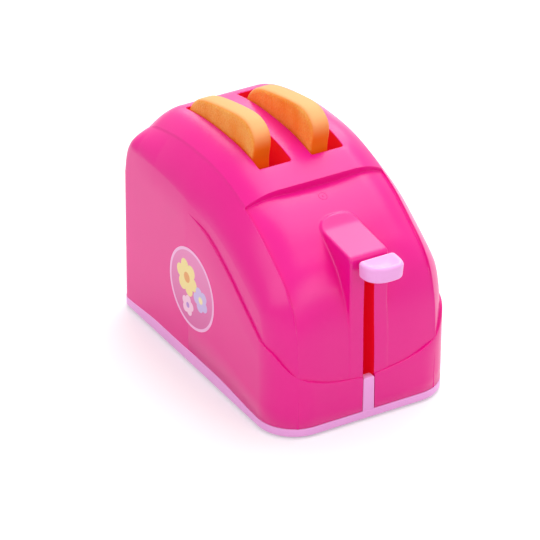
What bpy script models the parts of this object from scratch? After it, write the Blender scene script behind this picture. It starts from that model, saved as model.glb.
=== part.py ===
"""A toy toaster for pretend play, in metres, with +Z up.

The narrow end with the lever faces -Y. The toy stands on Z = 0 and is centred on X and Y, thumb pad
included. Heights of the housing are measured up from the underside of the pale base, and lengths
back from the front of the housing.
"""

import math

import bmesh
import bpy
import numpy as np
from mathutils import Matrix, Vector

# Overall sizes
BODY_WIDTH = 0.1150
BODY_LENGTH = 0.1800
ARCH_HEIGHT = 0.1262
FRONT_CORNER = 0.0230
BACK_CORNER = 0.0083
KNOB_REACH = 0.0160
FOOT_HEIGHT = 0.0015
RIM_HEIGHT = 0.0048

# Allowances shared by every piece
GAP = 0.0003
OVERRUN = 0.0020
SUNK = 0.0006
MERGE_DISTANCE = 0.00001

# Housing
WALL = 0.0022
SIDE_STEP = 0.0013
BACK_STEP = 0.0001
PANEL_STEP = 0.0006
PANEL_HALF_WIDTH = 0.0435
PANEL_EDGE = 0.0007
RISER_HEIGHT = 0.0028
RISER_RUN = 0.0008
RISER_START = 0.0585
RISER_TAPER = 0.0300
SKIRT_WALL = 0.0024
SKIRT_EDGE = 0.0005

# Height shares at which the front panel's edge fades in, and its back edge fades out
PANEL_FADE_SHARES = (0.46, 0.66)

# The shoulder line, from the foot of the front over the arch to the foot of the back: its place along
# BODY_LENGTH, its height in ARCH_HEIGHT, then how far the middle rises over it and how far the
# shoulder falls from it to the side, both in half of BODY_WIDTH
ARCH_SHARES = (
    (0.0105, 0.020, 0.020, 0.310),
    (0.0120, 0.215, 0.020, 0.305),
    (0.0200, 0.461, 0.026, 0.300),
    (0.051, 0.615, 0.048, 0.295),
    (0.099, 0.704, 0.070, 0.335),
    (0.159, 0.769, 0.085, 0.350),
    (0.249, 0.857, 0.100, 0.370),
    (0.321, 0.906, 0.110, 0.372),
    (0.430, 0.960, 0.122, 0.390),
    (0.522, 0.985, 0.124, 0.392),
    (0.615, 0.991, 0.124, 0.355),
    (0.741, 0.983, 0.128, 0.303),
    (0.869, 0.950, 0.135, 0.245),
    (0.934, 0.918, 0.118, 0.210),
    (0.962, 0.884, 0.068, 0.190),
    (0.984, 0.820, 0.022, 0.175),
    (0.995, 0.720, 0.008, 0.155),
    (0.996, 0.600, 0.006, 0.147),
    (0.996, 0.020, 0.006, 0.145),
)
LEVEL_SHARE = 0.56
ARCH_ROWS = 34
PANEL_COLUMNS = 8
SHOULDER_COLUMNS = 6
# How round the shoulder is, from the front of the toy to its back
SHOULDER_PLACE_SHARES = (0.0, 0.35, 0.80, 0.92, 1.0)
SHOULDER_POWER_SHARES = (1.90, 1.76, 1.52, 2.30, 2.60)

# The skirt's top edge: how far round from the middle of the front to the middle of the back, and
# its height in ARCH_HEIGHT
SKIRT_SHARES = (
    (0.000, 0.213),
    (0.068, 0.230),
    (0.113, 0.256),
    (0.159, 0.298),
    (0.189, 0.353),
    (0.211, 0.404),
    (0.242, 0.430),
    (0.270, 0.474),
    (0.308, 0.533),
    (0.346, 0.594),
    (0.385, 0.651),
    (0.424, 0.702),
    (0.463, 0.739),
    (0.522, 0.768),
    (0.594, 0.780),
    (0.682, 0.785),
    (0.745, 0.760),
    (0.780, 0.715),
    (0.820, 0.690),
    (1.000, 0.690),
)
CORNER_STEPS = 8
SIDE_POINTS = 15
FRONT_POINTS = 4
BACK_POINTS = 2

# Hood over the lever
HOOD_HALF_WIDTH = 0.0121
HOOD_FRONT = 0.0021
HOOD_END = 0.0426
HOOD_MARGIN = 0.0087
HOOD_RISE = 0.0018
HOOD_FOOT = 0.0450
HOOD_EDGE = 0.0016
HOOD_STEPS = 12

# Lever slot and the channel behind it
SLOT_FOOT_WIDTH = 0.0080
SLOT_HEAD_WIDTH = 0.0062
CHANNEL_DEPTH = 0.0140
CHANNEL_START = 0.0028
CHANNEL_WALL = 0.0016
CHANNEL_MARGIN = 0.0007
CHANNEL_HEAD = 0.0016

# Bread slots
BREAD_INNER = 0.0064
BREAD_WIDTH = 0.0205
BREAD_START = 0.0747
BREAD_BACK = 0.0226
BREAD_CORNER = 0.0014
CHUTE_WALL = 0.0016
CHUTE_MARGIN = 0.0155

# Sticker on the left side
STICKER_RADIUS = 0.0249
STICKER_BACK = 0.0965
STICKER_HEIGHT = 0.0498
STICKER_THICKNESS = 0.0003

# Base
FLOOR = 0.0022
RIM_WALL = 0.0060
LIP_WALL = 0.0012
LIP_HEIGHT = 0.0030
TAB_HEIGHT = 0.0262
TAB_DEPTH = 0.0042
TAB_EDGE = 0.0009
FOOT_RADIUS = 0.0080
FOOT_INSET = 0.0185

# Screws
SHANK_RADIUS = 0.0014
HEAD_RADIUS = 0.0030
HEAD_HEIGHT = 0.0020
CROSS_LENGTH = 0.0034
CROSS_WIDTH = 0.0008
CROSS_DEPTH = 0.0010
BORE_RADIUS = 0.0017
BOSS_RADIUS = 0.0042
BASE_SCREW_LENGTH = 0.0130
RACK_SCREW_LENGTH = 0.0075
CLIP_SCREW_LENGTH = 0.0045
SCREW_SIDE = 0.0115
SCREW_FRONT = 0.0420
SCREW_BACK = 0.0200
BASE_BOSS_HEIGHT = 0.0078
SCREW_SEAT = 0.0035
SHELL_BOSS_HEIGHT = 0.0150

# Guide rods, springs and slider
ROD_RADIUS = 0.0020
ROD_SPREAD = 0.0140
ROD_BACK = 0.0500
ROD_ROOM = 0.0196
SOCKET_RADIUS = 0.0035
SOCKET_HEIGHT = 0.0080
HEAD_SOCKET_DEPTH = 0.0070
SLEEVE_RADIUS = 0.0048
SLEEVE_LENGTH = 0.0200
SLEEVE_MARGIN = 0.0011
SPRING_RADIUS = 0.0047
SPRING_WIRE = 0.0008
SPRING_TURNS = 11
SPRING_TURN_POINTS = 9
BRIDGE_THICKNESS = 0.0050
ARM_WIDTH = 0.0050
ARM_HEIGHT = 0.0060
ARM_MARGIN = 0.0039

# Thumb pad
KNOB_WIDTH = 0.0232
KNOB_SHIFT = 0.0021
KNOB_DROP = 0.0015
KNOB_HEIGHT = 0.0100
KNOB_BACK_GAP = 0.0010
KNOB_EDGE = 0.0022
KNOB_DISH = 0.0014
KNOB_TAPER = 0.0012
SOCKET_DEPTH = 0.0075
KNOB_STEPS = 32

# Rack
RACK_PLATE = 0.0020
RACK_PLATE_HALF = 0.0230
RACK_PLATE_HEIGHT = 0.0140
RACK_SCREW_SPREAD = 0.0055
TRAY_WALL = 0.0016
TRAY_LIP = 0.0045
TRAY_DROP = 0.0235
TRAY_REST = 0.0150
TRAY_ARM = 0.0090
SLICE_SLOPE = 0.21

# Hold-down clip
CLIP_SHEET = 0.0012
CLIP_WIDTH = 0.0080
CLIP_BACK = 0.0250
CLIP_FOOT_LENGTH = 0.0140
CLIP_BOSS_HEIGHT = 0.0026

# Slices
SLICE_THICKNESS = 0.0121
SLICE_END_GAP = 0.00425
SLICE_HEIGHT = 0.0720
SLICE_CRUST = 0.0024
SLICE_SIDE_GAP = 0.0008
SLICE_OFFSETS = (0.0076, 0.0006)
# Half of a slice's outline, from the middle of the top round to the middle of the bottom, in
# SLICE_HALF_LENGTH and SLICE_HEIGHT
SLICE_SHARES = (
    (0.00, 1.000),
    (0.26, 0.998),
    (0.52, 0.990),
    (0.73, 0.966),
    (0.88, 0.920),
    (0.97, 0.865),
    (1.00, 0.805),
    (0.99, 0.745),
    (0.965, 0.690),
    (0.952, 0.620),
    (0.950, 0.450),
    (0.948, 0.250),
    (0.945, 0.110),
    (0.92, 0.040),
    (0.85, 0.006),
    (0.70, 0.000),
    (0.35, 0.000),
    (0.00, 0.000),
)

# Places worked out from the sizes
FRONT = (KNOB_REACH - BODY_LENGTH) / 2
UNDERSIDE = FOOT_HEIGHT
SHELL_FOOT = UNDERSIDE + RIM_HEIGHT + GAP
FLOOR_TOP = UNDERSIDE + FLOOR
HALF = BODY_WIDTH / 2
ROD_Y = FRONT + ROD_BACK
# Up the inside: the rods end under the roof, the slider stops under the rods' sockets, the arm,
# the thumb pad and the trays hang from the slider, and the hood and the chutes clear them
ROD_TOP = ARCH_HEIGHT - ROD_ROOM
SLEEVE_TOP = ROD_TOP - HEAD_SOCKET_DEPTH - SLEEVE_MARGIN
ARM_RISE = SLEEVE_TOP - ARM_MARGIN
ARM_Z = UNDERSIDE + ARM_RISE
KNOB_FOOT = ARM_RISE - KNOB_DROP
HOOD_TOP = ARM_RISE + HOOD_MARGIN
TRAY_MIDDLE = SLEEVE_TOP - TRAY_DROP
LEVER_TRAVEL = TRAY_MIDDLE - TRAY_REST
CHUTE_FOOT = TRAY_MIDDLE + CHUTE_MARGIN
# The bread slots take what length the front and the back leave, and the slices fit into them
BREAD_LENGTH = BODY_LENGTH - BREAD_START - BREAD_BACK
SLICE_HALF_LENGTH = BREAD_LENGTH / 2 - SLICE_END_GAP
BORE_CLEARANCE = ROD_RADIUS + GAP


def clear_scene():
    """Removes every object, so that the file can be run again."""
    for old in list(bpy.data.objects):
        bpy.data.objects.remove(old, do_unlink=True)


def new_collection(name):
    collection = bpy.data.collections.new(name)
    bpy.context.scene.collection.children.link(collection)
    return collection


def plastic(name, colour, roughness=0.3, metallic=0.0):
    """A Principled material; colour is linear red, green and blue."""
    material = bpy.data.materials.new(name)
    material.use_nodes = True
    shader = material.node_tree.nodes["Principled BSDF"]
    shader.inputs["Base Color"].default_value = (*colour, 1.0)
    shader.inputs["Roughness"].default_value = roughness
    shader.inputs["Metallic"].default_value = metallic
    return material


def add_object(name, bm, collection, material=None):
    """Puts a bmesh into a new object, with its normals pointing out."""
    bmesh.ops.recalc_face_normals(bm, faces=bm.faces)
    mesh = bpy.data.meshes.new(name)
    bm.to_mesh(mesh)
    bm.free()
    piece = bpy.data.objects.new(name, mesh)
    collection.objects.link(piece)
    if material:
        mesh.materials.append(material)
    return piece


def add_tool(name, bm):
    """A shape that only cuts or joins another; it is never built itself."""
    tool = add_object(name, bm, tools)
    tool.hide_render = True
    tool.display_type = "WIRE"
    return tool


def apply_boolean(piece, tool, operation):
    modifier = piece.modifiers.new(tool.name, "BOOLEAN")
    modifier.operation = operation
    modifier.object = tool
    modifier.solver = "EXACT"


def join(piece, *others):
    for other in others:
        apply_boolean(piece, other, "UNION")


def cut(piece, *others):
    for other in others:
        apply_boolean(piece, other, "DIFFERENCE")


def box(low, high):
    """A box between two opposite corners, as a bmesh."""
    bm = bmesh.new()
    low, high = Vector(low), Vector(high)
    place = Matrix.Translation((low + high) / 2) @ Matrix.Diagonal((*(high - low), 1.0))
    bmesh.ops.create_cube(bm, size=1.0, matrix=place)
    return bm


def rod(foot, head, radius, sides=24):
    """A closed cylinder from the point foot to the point head, as a bmesh."""
    bm = bmesh.new()
    foot, head = Vector(foot), Vector(head)
    turn = (head - foot).to_track_quat("Z", "Y").to_matrix().to_4x4()
    place = Matrix.Translation((foot + head) / 2) @ turn
    bmesh.ops.create_cone(
        bm,
        cap_ends=True,
        segments=sides,
        radius1=radius,
        radius2=radius,
        depth=(head - foot).length,
        matrix=place,
    )
    return bm


def smooth(piece, angle=math.radians(35)):
    piece.data.shade_smooth()
    piece.data.set_sharp_from_angle(angle=angle)


def smooth_curve(points, steps=16):
    """A Catmull-Rom curve through rows of values, as steps rows to each span.

    Each span is the usual cubic whose slope at a point is half the step between its neighbours.
    """
    points = np.asarray(points, float)
    ends = np.vstack([2 * points[0] - points[1], points, 2 * points[-1] - points[-2]])
    a, b, c, d = ends[:-3, None], ends[1:-2, None], ends[2:-1, None], ends[3:, None]
    t = np.linspace(0, 1, steps, endpoint=False)[None, :, None]
    spans = b + t * (c - a) / 2
    spans = spans + t**2 * (2 * a - 5 * b + 4 * c - d) / 2
    spans = spans + t**3 * (3 * b - a - 3 * c + d) / 2
    return np.vstack([spans.reshape(-1, points.shape[1]), points[-1:]])


def lengths_along(points):
    """The distance from the first point to each point of a line."""
    return np.concatenate([[0.0], np.cumsum(np.linalg.norm(np.diff(points, axis=0), axis=1))])


def arch_rows(stops):
    """The shoulder line at some shares of its length, lifted to the middle line.

    Returns each row's place, its inward normal, the rise of the middle and the shoulder's fall.
    """
    scales = np.array([BODY_LENGTH, ARCH_HEIGHT, HALF, HALF])
    curve = smooth_curve(np.array(ARCH_SHARES) * scales)
    along = lengths_along(curve[:, :2])
    along /= along[-1]
    slopes = np.gradient(curve[:, :2], axis=0)
    table = np.hstack([curve, slopes])
    rows = np.stack([np.interp(stops, along, column) for column in table.T], axis=1)
    slopes = rows[:, 4:] / np.linalg.norm(rows[:, 4:], axis=1, keepdims=True)
    inward = np.stack([slopes[:, 1], -slopes[:, 0]], axis=1)
    rise, fall = rows[:, 2:3], rows[:, 3:4]
    return rows[:, :2] - inward * rise, inward, rise, fall


def riser_share():
    """The share of the arch's length at which the riser stands."""
    stops = np.linspace(0, 0.5, 200)
    places = arch_rows(stops)[0]
    return float(np.interp(RISER_START, places[:, 0], stops))


def arch_grid(foot, detailed):
    """The housing's upper surface, as rows along the arch and columns from left to right.

    Each row lies in a plane square to the arch. Below its middle it falls as a parabola to the
    shoulder line, and then as the curve across = 1 - (1 - down)^power to the side. The detailed
    surface adds the panel's edge step and a sharp riser, and the plain one a soft hollow there.
    """
    riser = riser_share()
    if detailed:
        front_rows = round(ARCH_ROWS * riser)
        run = RISER_RUN / (BODY_LENGTH + ARCH_HEIGHT)
        before = np.linspace(0, riser, front_rows)
        stops = np.concatenate([before, np.linspace(riser + run, 1, ARCH_ROWS - front_rows)])
    else:
        stops = np.linspace(0, 1, ARCH_ROWS)
    places, inward, rise, fall = arch_rows(stops)
    step = BACK_STEP + (SIDE_STEP - BACK_STEP) * (1 - places[:, :1] / BODY_LENGTH)
    half = HALF - np.clip(step, BACK_STEP, SIDE_STEP)
    inner = np.linspace(0, PANEL_HALF_WIDTH, PANEL_COLUMNS) * np.ones_like(half)
    level = PANEL_HALF_WIDTH * LEVEL_SHARE
    inner_depth = rise * np.clip((inner - level) / (PANEL_HALF_WIDTH - level), 0, 1) ** 2
    down = np.linspace(0, 1, SHOULDER_COLUMNS)[0 if detailed else 1 :]
    start = PANEL_HALF_WIDTH + (PANEL_EDGE if detailed else 0.0)
    power = np.interp(places[:, :1] / BODY_LENGTH, SHOULDER_PLACE_SHARES, SHOULDER_POWER_SHARES)
    outer = start + (half - start) * (1 - (1 - down) ** power)
    across = np.hstack([inner, outer])
    relief = panel_relief(inner, places, stops, riser, detailed)
    depth = np.hstack([inner_depth - relief, rise + fall * down])
    sides = np.hstack([-across[:, :0:-1], across])
    depth = np.hstack([depth[:, :0:-1], depth])
    grid = np.zeros((len(stops), sides.shape[1], 3))
    grid[..., 0] = sides
    grid[..., 1] = FRONT + places[:, :1] + inward[:, :1] * depth
    grid[..., 2] = UNDERSIDE + places[:, 1:] + inward[:, 1:] * depth
    grid[[0, -1], :, 2] = foot
    return grid


def panel_relief(across, places, stops, riser, detailed):
    """How far the middle panel stands proud: below the shoulder line in front of the riser, above
    it behind. The riser's own height is a parabola across, and it runs out down the front."""
    crown = 1 - (across / PANEL_HALF_WIDTH) ** 2
    away = np.abs(RISER_START - places[:, :1])
    near = np.clip(1 - away / RISER_TAPER, 0, 1) ** 2
    hollow = -RISER_HEIGHT * near * crown
    if not detailed:
        return hollow
    heights = places[:, 1:] / ARCH_HEIGHT
    fade_low, fade_high = PANEL_FADE_SHARES
    fade = np.clip((heights - fade_low) / (fade_high - fade_low), 0, 1)
    fade = fade**2 * (3 - 2 * fade)
    behind = (stops > riser)[:, None]
    return np.where(behind, PANEL_STEP * fade, hollow - PANEL_STEP * fade)


def moved_in(grid, distance, foot):
    """The same grid moved inwards along its own normals, with its two ends on the height foot."""
    normals = np.cross(np.gradient(grid, axis=0), np.gradient(grid, axis=1))
    normals /= np.linalg.norm(normals, axis=2, keepdims=True)
    moved = grid + normals * distance
    moved[[0, -1], :, 2] = foot
    return moved


def closed_grid(grid):
    """A grid that ends on one flat foot, closed at its two sides and its foot, as a bmesh."""
    bm = bmesh.new()
    rows, columns = grid.shape[:2]
    verts = [bm.verts.new(point) for point in grid.reshape(-1, 3)]
    for i in range(rows - 1):
        for j in range(columns - 1):
            k = i * columns + j
            bm.faces.new([verts[k], verts[k + 1], verts[k + columns + 1], verts[k + columns]])
    bm.faces.new(verts[::columns])
    bm.faces.new(verts[columns - 1 :: columns])
    bm.faces.new(verts[:columns] + verts[-columns:][::-1])
    return bm


def plan_outline(inset):
    """The housing's outline from above, as points all the way round from the middle of the front.

    Straight runs and quarter circles, drawn for the +X half and mirrored.
    """
    front, back = FRONT_CORNER - inset, BACK_CORNER - inset
    half, near, far = HALF - inset, inset, BODY_LENGTH - inset
    turn = np.linspace(0, math.pi / 2, CORNER_STEPS + 1)
    run = np.linspace(0, half - front, FRONT_POINTS, endpoint=False)
    parts = [
        np.stack([run, np.full_like(run, near)], 1),
        np.stack([half - front + front * np.sin(turn), near + front - front * np.cos(turn)], 1),
    ]
    side = np.linspace(near + front, far - back, SIDE_POINTS)[1:-1]
    parts.append(np.stack([np.full_like(side, half), side], 1))
    parts.append(np.stack([half - back + back * np.cos(turn), far - back + back * np.sin(turn)], 1))
    run = np.linspace(half - back, 0, BACK_POINTS + 1)[1:]
    parts.append(np.stack([run, np.full_like(run, far)], 1))
    half_way = np.vstack(parts)
    mirrored = half_way[-2:0:-1] * (-1, 1)
    return np.vstack([half_way, mirrored]), len(half_way)


def skirt_heights():
    """The height of the skirt's top edge at each point of the outline."""
    outline, half_count = plan_outline(0.0)
    along = lengths_along(outline[:half_count])
    edge = smooth_curve(SKIRT_SHARES)
    heights = np.interp(along / along[-1], edge[:, 0], edge[:, 1]) * ARCH_HEIGHT
    return UNDERSIDE + np.concatenate([heights, heights[-2:0:-1]])


def rings(levels, cap_first=True, cap_last=True, close=False):
    """Joins rings of equal length into one skin, as a bmesh.

    The first and last rings are capped, or close joins the last ring to the first.
    """
    bm = bmesh.new()
    loops = [[bm.verts.new(point) for point in ring] for ring in levels]
    pairs = list(zip(loops, loops[1:]))
    if close:
        pairs.append((loops[-1], loops[0]))
    count = len(loops[0])
    for lower, upper in pairs:
        for i in range(count):
            j = (i + 1) % count
            bm.faces.new([lower[i], lower[j], upper[j], upper[i]])
    if cap_first and not close:
        bm.faces.new(loops[0])
    if cap_last and not close:
        bm.faces.new(loops[-1])
    return bm


def outline_ring(inset, height):
    """The plan outline at one height, or at a height for each point."""
    points, _ = plan_outline(inset)
    ring = np.empty((len(points), 3))
    ring[:, 0] = points[:, 0]
    ring[:, 1] = points[:, 1] + FRONT
    ring[:, 2] = height
    return ring


def skirt_ring():
    """The skirt that stands proud of the upper housing: its section carried round the outline."""
    top = skirt_heights()
    levels = [
        outline_ring(0.0, SHELL_FOOT),
        outline_ring(0.0, top - SKIRT_EDGE),
        outline_ring(SKIRT_EDGE, top),
        outline_ring(SKIRT_WALL, top),
        outline_ring(SKIRT_WALL, SHELL_FOOT),
    ]
    return rings(levels, close=True)


def hood_outline(inset):
    """From above, the hood is a bar with one half-round end."""
    half, start = HOOD_HALF_WIDTH - inset, HOOD_FRONT + inset
    turn = np.linspace(0, math.pi, HOOD_STEPS + 1)
    x = np.concatenate([[half], half * np.cos(turn), [-half]])
    y = np.concatenate([[start], HOOD_END - HOOD_HALF_WIDTH + half * np.sin(turn), [start]])
    return x, y


def hood(inset):
    """Upright walls and a rounded rim, with a top that climbs gently to the back."""
    edge = HOOD_EDGE - inset / 2
    turn = np.linspace(0, math.pi / 2, 4)
    drops = np.concatenate([[HOOD_TOP - HOOD_FOOT], edge * (1 - np.sin(turn))])
    insets = np.concatenate([[0.0], edge * (1 - np.cos(turn))])
    levels = []
    for drop, extra in zip(drops, insets):
        x, y = hood_outline(inset + extra)
        climb = HOOD_RISE * (y - HOOD_FRONT) / (HOOD_END - HOOD_FRONT)
        levels.append(np.stack([x, FRONT + y, UNDERSIDE + HOOD_TOP - inset - drop + climb], 1))
    return rings(levels)


def slot_cutter():
    """The lever slot: a slim wedge, wider at its foot, open at the bottom of the housing."""
    foot, head = SHELL_FOOT - OVERRUN, ARM_Z + ARM_HEIGHT / 2 + CHANNEL_HEAD
    low, high = FRONT - OVERRUN, FRONT + CHANNEL_START + WALL
    levels = []
    for height, width in ((foot, SLOT_FOOT_WIDTH), (head, SLOT_HEAD_WIDTH)):
        corners = [(-1, low), (1, low), (1, high), (-1, high)]
        levels.append([(side * width / 2, y, height) for side, y in corners])
    return add_tool("lever slot", rings(levels))


def bread_middle(side):
    return side * (BREAD_INNER + BREAD_WIDTH / 2)


def bread_prism(name, side, grow, low, high):
    """A bread slot's prism, grown all round, with its upright edges rounded."""
    x = bread_middle(side)
    half = BREAD_WIDTH / 2 + grow
    start, end = FRONT + BREAD_START - grow, FRONT + BREAD_START + BREAD_LENGTH + grow
    bm = box((x - half, start, low), (x + half, end, high))
    upright = [edge for edge in bm.edges if abs(edge.verts[0].co.z - edge.verts[1].co.z) > GAP]
    width = BREAD_CORNER + grow
    bmesh.ops.bevel(bm, geom=upright, offset=width, segments=3, affect="EDGES", profile=0.5)
    return add_tool(name, bm)


def screw_places():
    """The four base screws, as name, x and y."""
    x = HALF - SCREW_SIDE
    near, far = FRONT + SCREW_FRONT, FRONT + BODY_LENGTH - SCREW_BACK
    return (
        ("front_left", -x, near),
        ("front_right", x, near),
        ("back_left", -x, far),
        ("back_right", x, far),
    )


def make_body_shell():
    """The one-piece housing: arched body, hood, skirt, bread chutes, lever channel and bosses."""
    shell = add_object("body_shell", closed_grid(arch_grid(SHELL_FOOT, True)), parts, pink)
    plain = arch_grid(SHELL_FOOT, False)
    outer = add_tool("outer form", closed_grid(moved_in(plain, WALL / 2, SHELL_FOOT)))
    hollow = add_tool("hollow", closed_grid(moved_in(plain, WALL, SHELL_FOOT - OVERRUN)))
    join(shell, add_tool("hood", hood(0.0)))
    join(outer, add_tool("hood middle", hood(WALL / 2)))
    cut(shell, hollow, add_tool("hood hollow", hood(WALL)))
    join(shell, add_tool("skirt", skirt_ring()))
    top = UNDERSIDE + ARCH_HEIGHT + WALL * 4
    for side, word in ((-1, "left"), (1, "right")):
        low = UNDERSIDE + CHUTE_FOOT
        chute = bread_prism(f"chute {word}", side, CHUTE_WALL, low, top)
        apply_boolean(chute, outer, "INTERSECT")
        join(shell, chute)
        cut(shell, bread_prism(f"bread slot {word}", side, 0.0, low - OVERRUN, top + OVERRUN))
        join(shell, channel_rib(side, word))
    cut(shell, slot_cutter())
    add_rod_heads(shell)
    add_shell_bosses(shell)
    cut(shell, sticker_disc("sticker recess", STICKER_RADIUS + GAP, OVERRUN, STICKER_THICKNESS + GAP))
    smooth(shell)
    return shell


def channel_rib(side, word):
    """One wall of the channel that the lever's arm runs in, just inside the slot."""
    near = side * (SLOT_FOOT_WIDTH / 2 + CHANNEL_MARGIN)
    far = near + side * CHANNEL_WALL
    low = (min(near, far), FRONT + CHANNEL_START, SHELL_FOOT + LIP_HEIGHT + GAP)
    high = (max(near, far), FRONT + CHANNEL_DEPTH, UNDERSIDE + HOOD_TOP - WALL / 2)
    return add_tool(f"channel wall {word}", box(low, high))


def add_rod_heads(shell):
    """Blind sockets under the roof that hold the tops of the guide rods."""
    head = UNDERSIDE + ROD_TOP
    for side, word in ((-1, "left"), (1, "right")):
        x = side * ROD_SPREAD
        foot = head - HEAD_SOCKET_DEPTH
        roof = UNDERSIDE + ARCH_HEIGHT + WALL * 4
        boss = add_tool(f"rod head {word}", rod((x, ROD_Y, foot), (x, ROD_Y, roof), SLEEVE_RADIUS))
        apply_boolean(boss, bpy.data.objects["outer form"], "INTERSECT")
        join(shell, boss)
        bore = rod((x, ROD_Y, foot - OVERRUN), (x, ROD_Y, head + GAP), BORE_CLEARANCE)
        cut(shell, add_tool(f"rod head bore {word}", bore))


def add_shell_bosses(shell):
    """A boss for each base screw, tied to the side wall by a web."""
    foot = UNDERSIDE + BASE_BOSS_HEIGHT + GAP
    head = foot + SHELL_BOSS_HEIGHT
    for word, x, y in screw_places():
        join(shell, add_tool(f"boss {word}", rod((x, y, foot), (x, y, head), BOSS_RADIUS)))
        side = math.copysign(1, x)
        near, far = x, side * (HALF - SKIRT_WALL)
        low = (min(near, far), y - CHUTE_WALL / 2, foot + LIP_HEIGHT)
        high = (max(near, far), y + CHUTE_WALL / 2, head - SUNK)
        join(shell, add_tool(f"web {word}", box(low, high)))
        bore = rod((x, y, foot - OVERRUN), (x, y, head - WALL), BORE_RADIUS, 16)
        cut(shell, add_tool(f"boss bore {word}", bore))


def sticker_disc(name, radius, outside, inside):
    """A disc on the left side, from outside beyond the side face to inside below it."""
    y, z = FRONT + STICKER_BACK, UNDERSIDE + STICKER_HEIGHT
    return add_tool(name, rod((-HALF - outside, y, z), (-HALF + inside, y, z), radius, 48))


def make_side_sticker():
    """The round sticker, flush with the side in its shallow recess."""
    y, z = FRONT + STICKER_BACK, UNDERSIDE + STICKER_HEIGHT
    bm = rod((-HALF, y, z), (-HALF + STICKER_THICKNESS, y, z), STICKER_RADIUS, 48)
    return add_object("side_sticker", bm, parts, sticker_film)


def make_base_tray():
    """The pale base: rim, floor, feet, register lip, slot tab, screw bosses and rod sockets."""
    rim_top = UNDERSIDE + RIM_HEIGHT
    base = add_object(
        "base_tray",
        rings([outline_ring(0.0, UNDERSIDE), outline_ring(0.0, rim_top)]),
        parts,
        pale_pink,
    )
    lip = SIDE_STEP + WALL + GAP * 2
    pocket = [outline_ring(RIM_WALL, FLOOR_TOP), outline_ring(RIM_WALL, rim_top + OVERRUN)]
    cut(base, add_tool("floor pocket", rings(pocket)))
    levels = [
        outline_ring(lip, rim_top - SUNK),
        outline_ring(lip, rim_top + LIP_HEIGHT),
        outline_ring(lip + LIP_WALL, rim_top + LIP_HEIGHT),
        outline_ring(lip + LIP_WALL, rim_top - SUNK),
    ]
    lip_ring = add_tool("register lip", rings(levels, close=True))
    within = moved_in(arch_grid(SHELL_FOOT, False), WALL + GAP, SHELL_FOOT - OVERRUN)
    apply_boolean(lip_ring, add_tool("room for the lip", closed_grid(within)), "INTERSECT")
    join(base, lip_ring)
    join(base, slot_tab())
    for word, x, y in foot_places():
        foot = rod((x, y, 0.0), (x, y, UNDERSIDE + SUNK), FOOT_RADIUS)
        join(base, add_tool(f"foot {word}", foot))
    add_base_bosses(base)
    for side, word in ((-1, "left"), (1, "right")):
        x = side * ROD_SPREAD
        head = FLOOR_TOP + SOCKET_HEIGHT
        post = rod((x, ROD_Y, FLOOR_TOP - SUNK), (x, ROD_Y, head), SOCKET_RADIUS)
        join(base, add_tool(f"rod socket {word}", post))
        bore = rod((x, ROD_Y, FLOOR_TOP + GAP), (x, ROD_Y, head + OVERRUN), BORE_CLEARANCE)
        cut(base, add_tool(f"rod socket bore {word}", bore))
    y = FRONT + CLIP_BACK + CLIP_FOOT_LENGTH / 2
    head = FLOOR_TOP + CLIP_BOSS_HEIGHT
    join(base, add_tool("clip boss", rod((0, y, FLOOR_TOP - SUNK), (0, y, head), BOSS_RADIUS)))
    bore = rod((0, y, UNDERSIDE + FLOOR / 3), (0, y, head + OVERRUN), BORE_RADIUS, 16)
    cut(base, add_tool("clip boss bore", bore))
    smooth(base)
    return base


def foot_places():
    near, far = FRONT + FOOT_INSET, FRONT + BODY_LENGTH - FOOT_INSET
    x = HALF - FOOT_INSET
    return (
        ("front_left", -x, near),
        ("front_right", x, near),
        ("back_left", -x, far),
        ("back_right", x, far),
    )


def slot_tab():
    """The tab that closes the foot of the lever slot, flush with the front of the skirt."""
    half = SLOT_FOOT_WIDTH / 2 - GAP
    low = UNDERSIDE + RIM_HEIGHT - SUNK
    high = UNDERSIDE + TAB_HEIGHT
    narrow = half - (SLOT_FOOT_WIDTH - SLOT_HEAD_WIDTH) / 2 * (high - low) / (ARM_Z - low)
    outline = [
        (half, low),
        (narrow, high - TAB_EDGE),
        (narrow - TAB_EDGE, high),
        (-narrow + TAB_EDGE, high),
        (-narrow, high - TAB_EDGE),
        (-half, low),
    ]
    levels = [[(x, FRONT + y, z) for x, z in outline] for y in (0.0, TAB_DEPTH)]
    return add_tool("slot tab", rings(levels))


def add_base_bosses(base):
    """Each base screw's boss, bore and the recess that hides its head."""
    head = UNDERSIDE + BASE_BOSS_HEIGHT
    seat = head - SCREW_SEAT
    for word, x, y in screw_places():
        radius = HEAD_RADIUS + GAP + FLOOR / 2
        post = rod((x, y, FLOOR_TOP - SUNK), (x, y, head), radius)
        join(base, add_tool(f"base boss {word}", post))
        recess = rod((x, y, UNDERSIDE - OVERRUN), (x, y, seat), HEAD_RADIUS + GAP)
        bore = rod((x, y, seat - OVERRUN), (x, y, head + OVERRUN), BORE_RADIUS, 16)
        cut(base, add_tool(f"base recess {word}", recess), add_tool(f"base bore {word}", bore))


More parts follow.
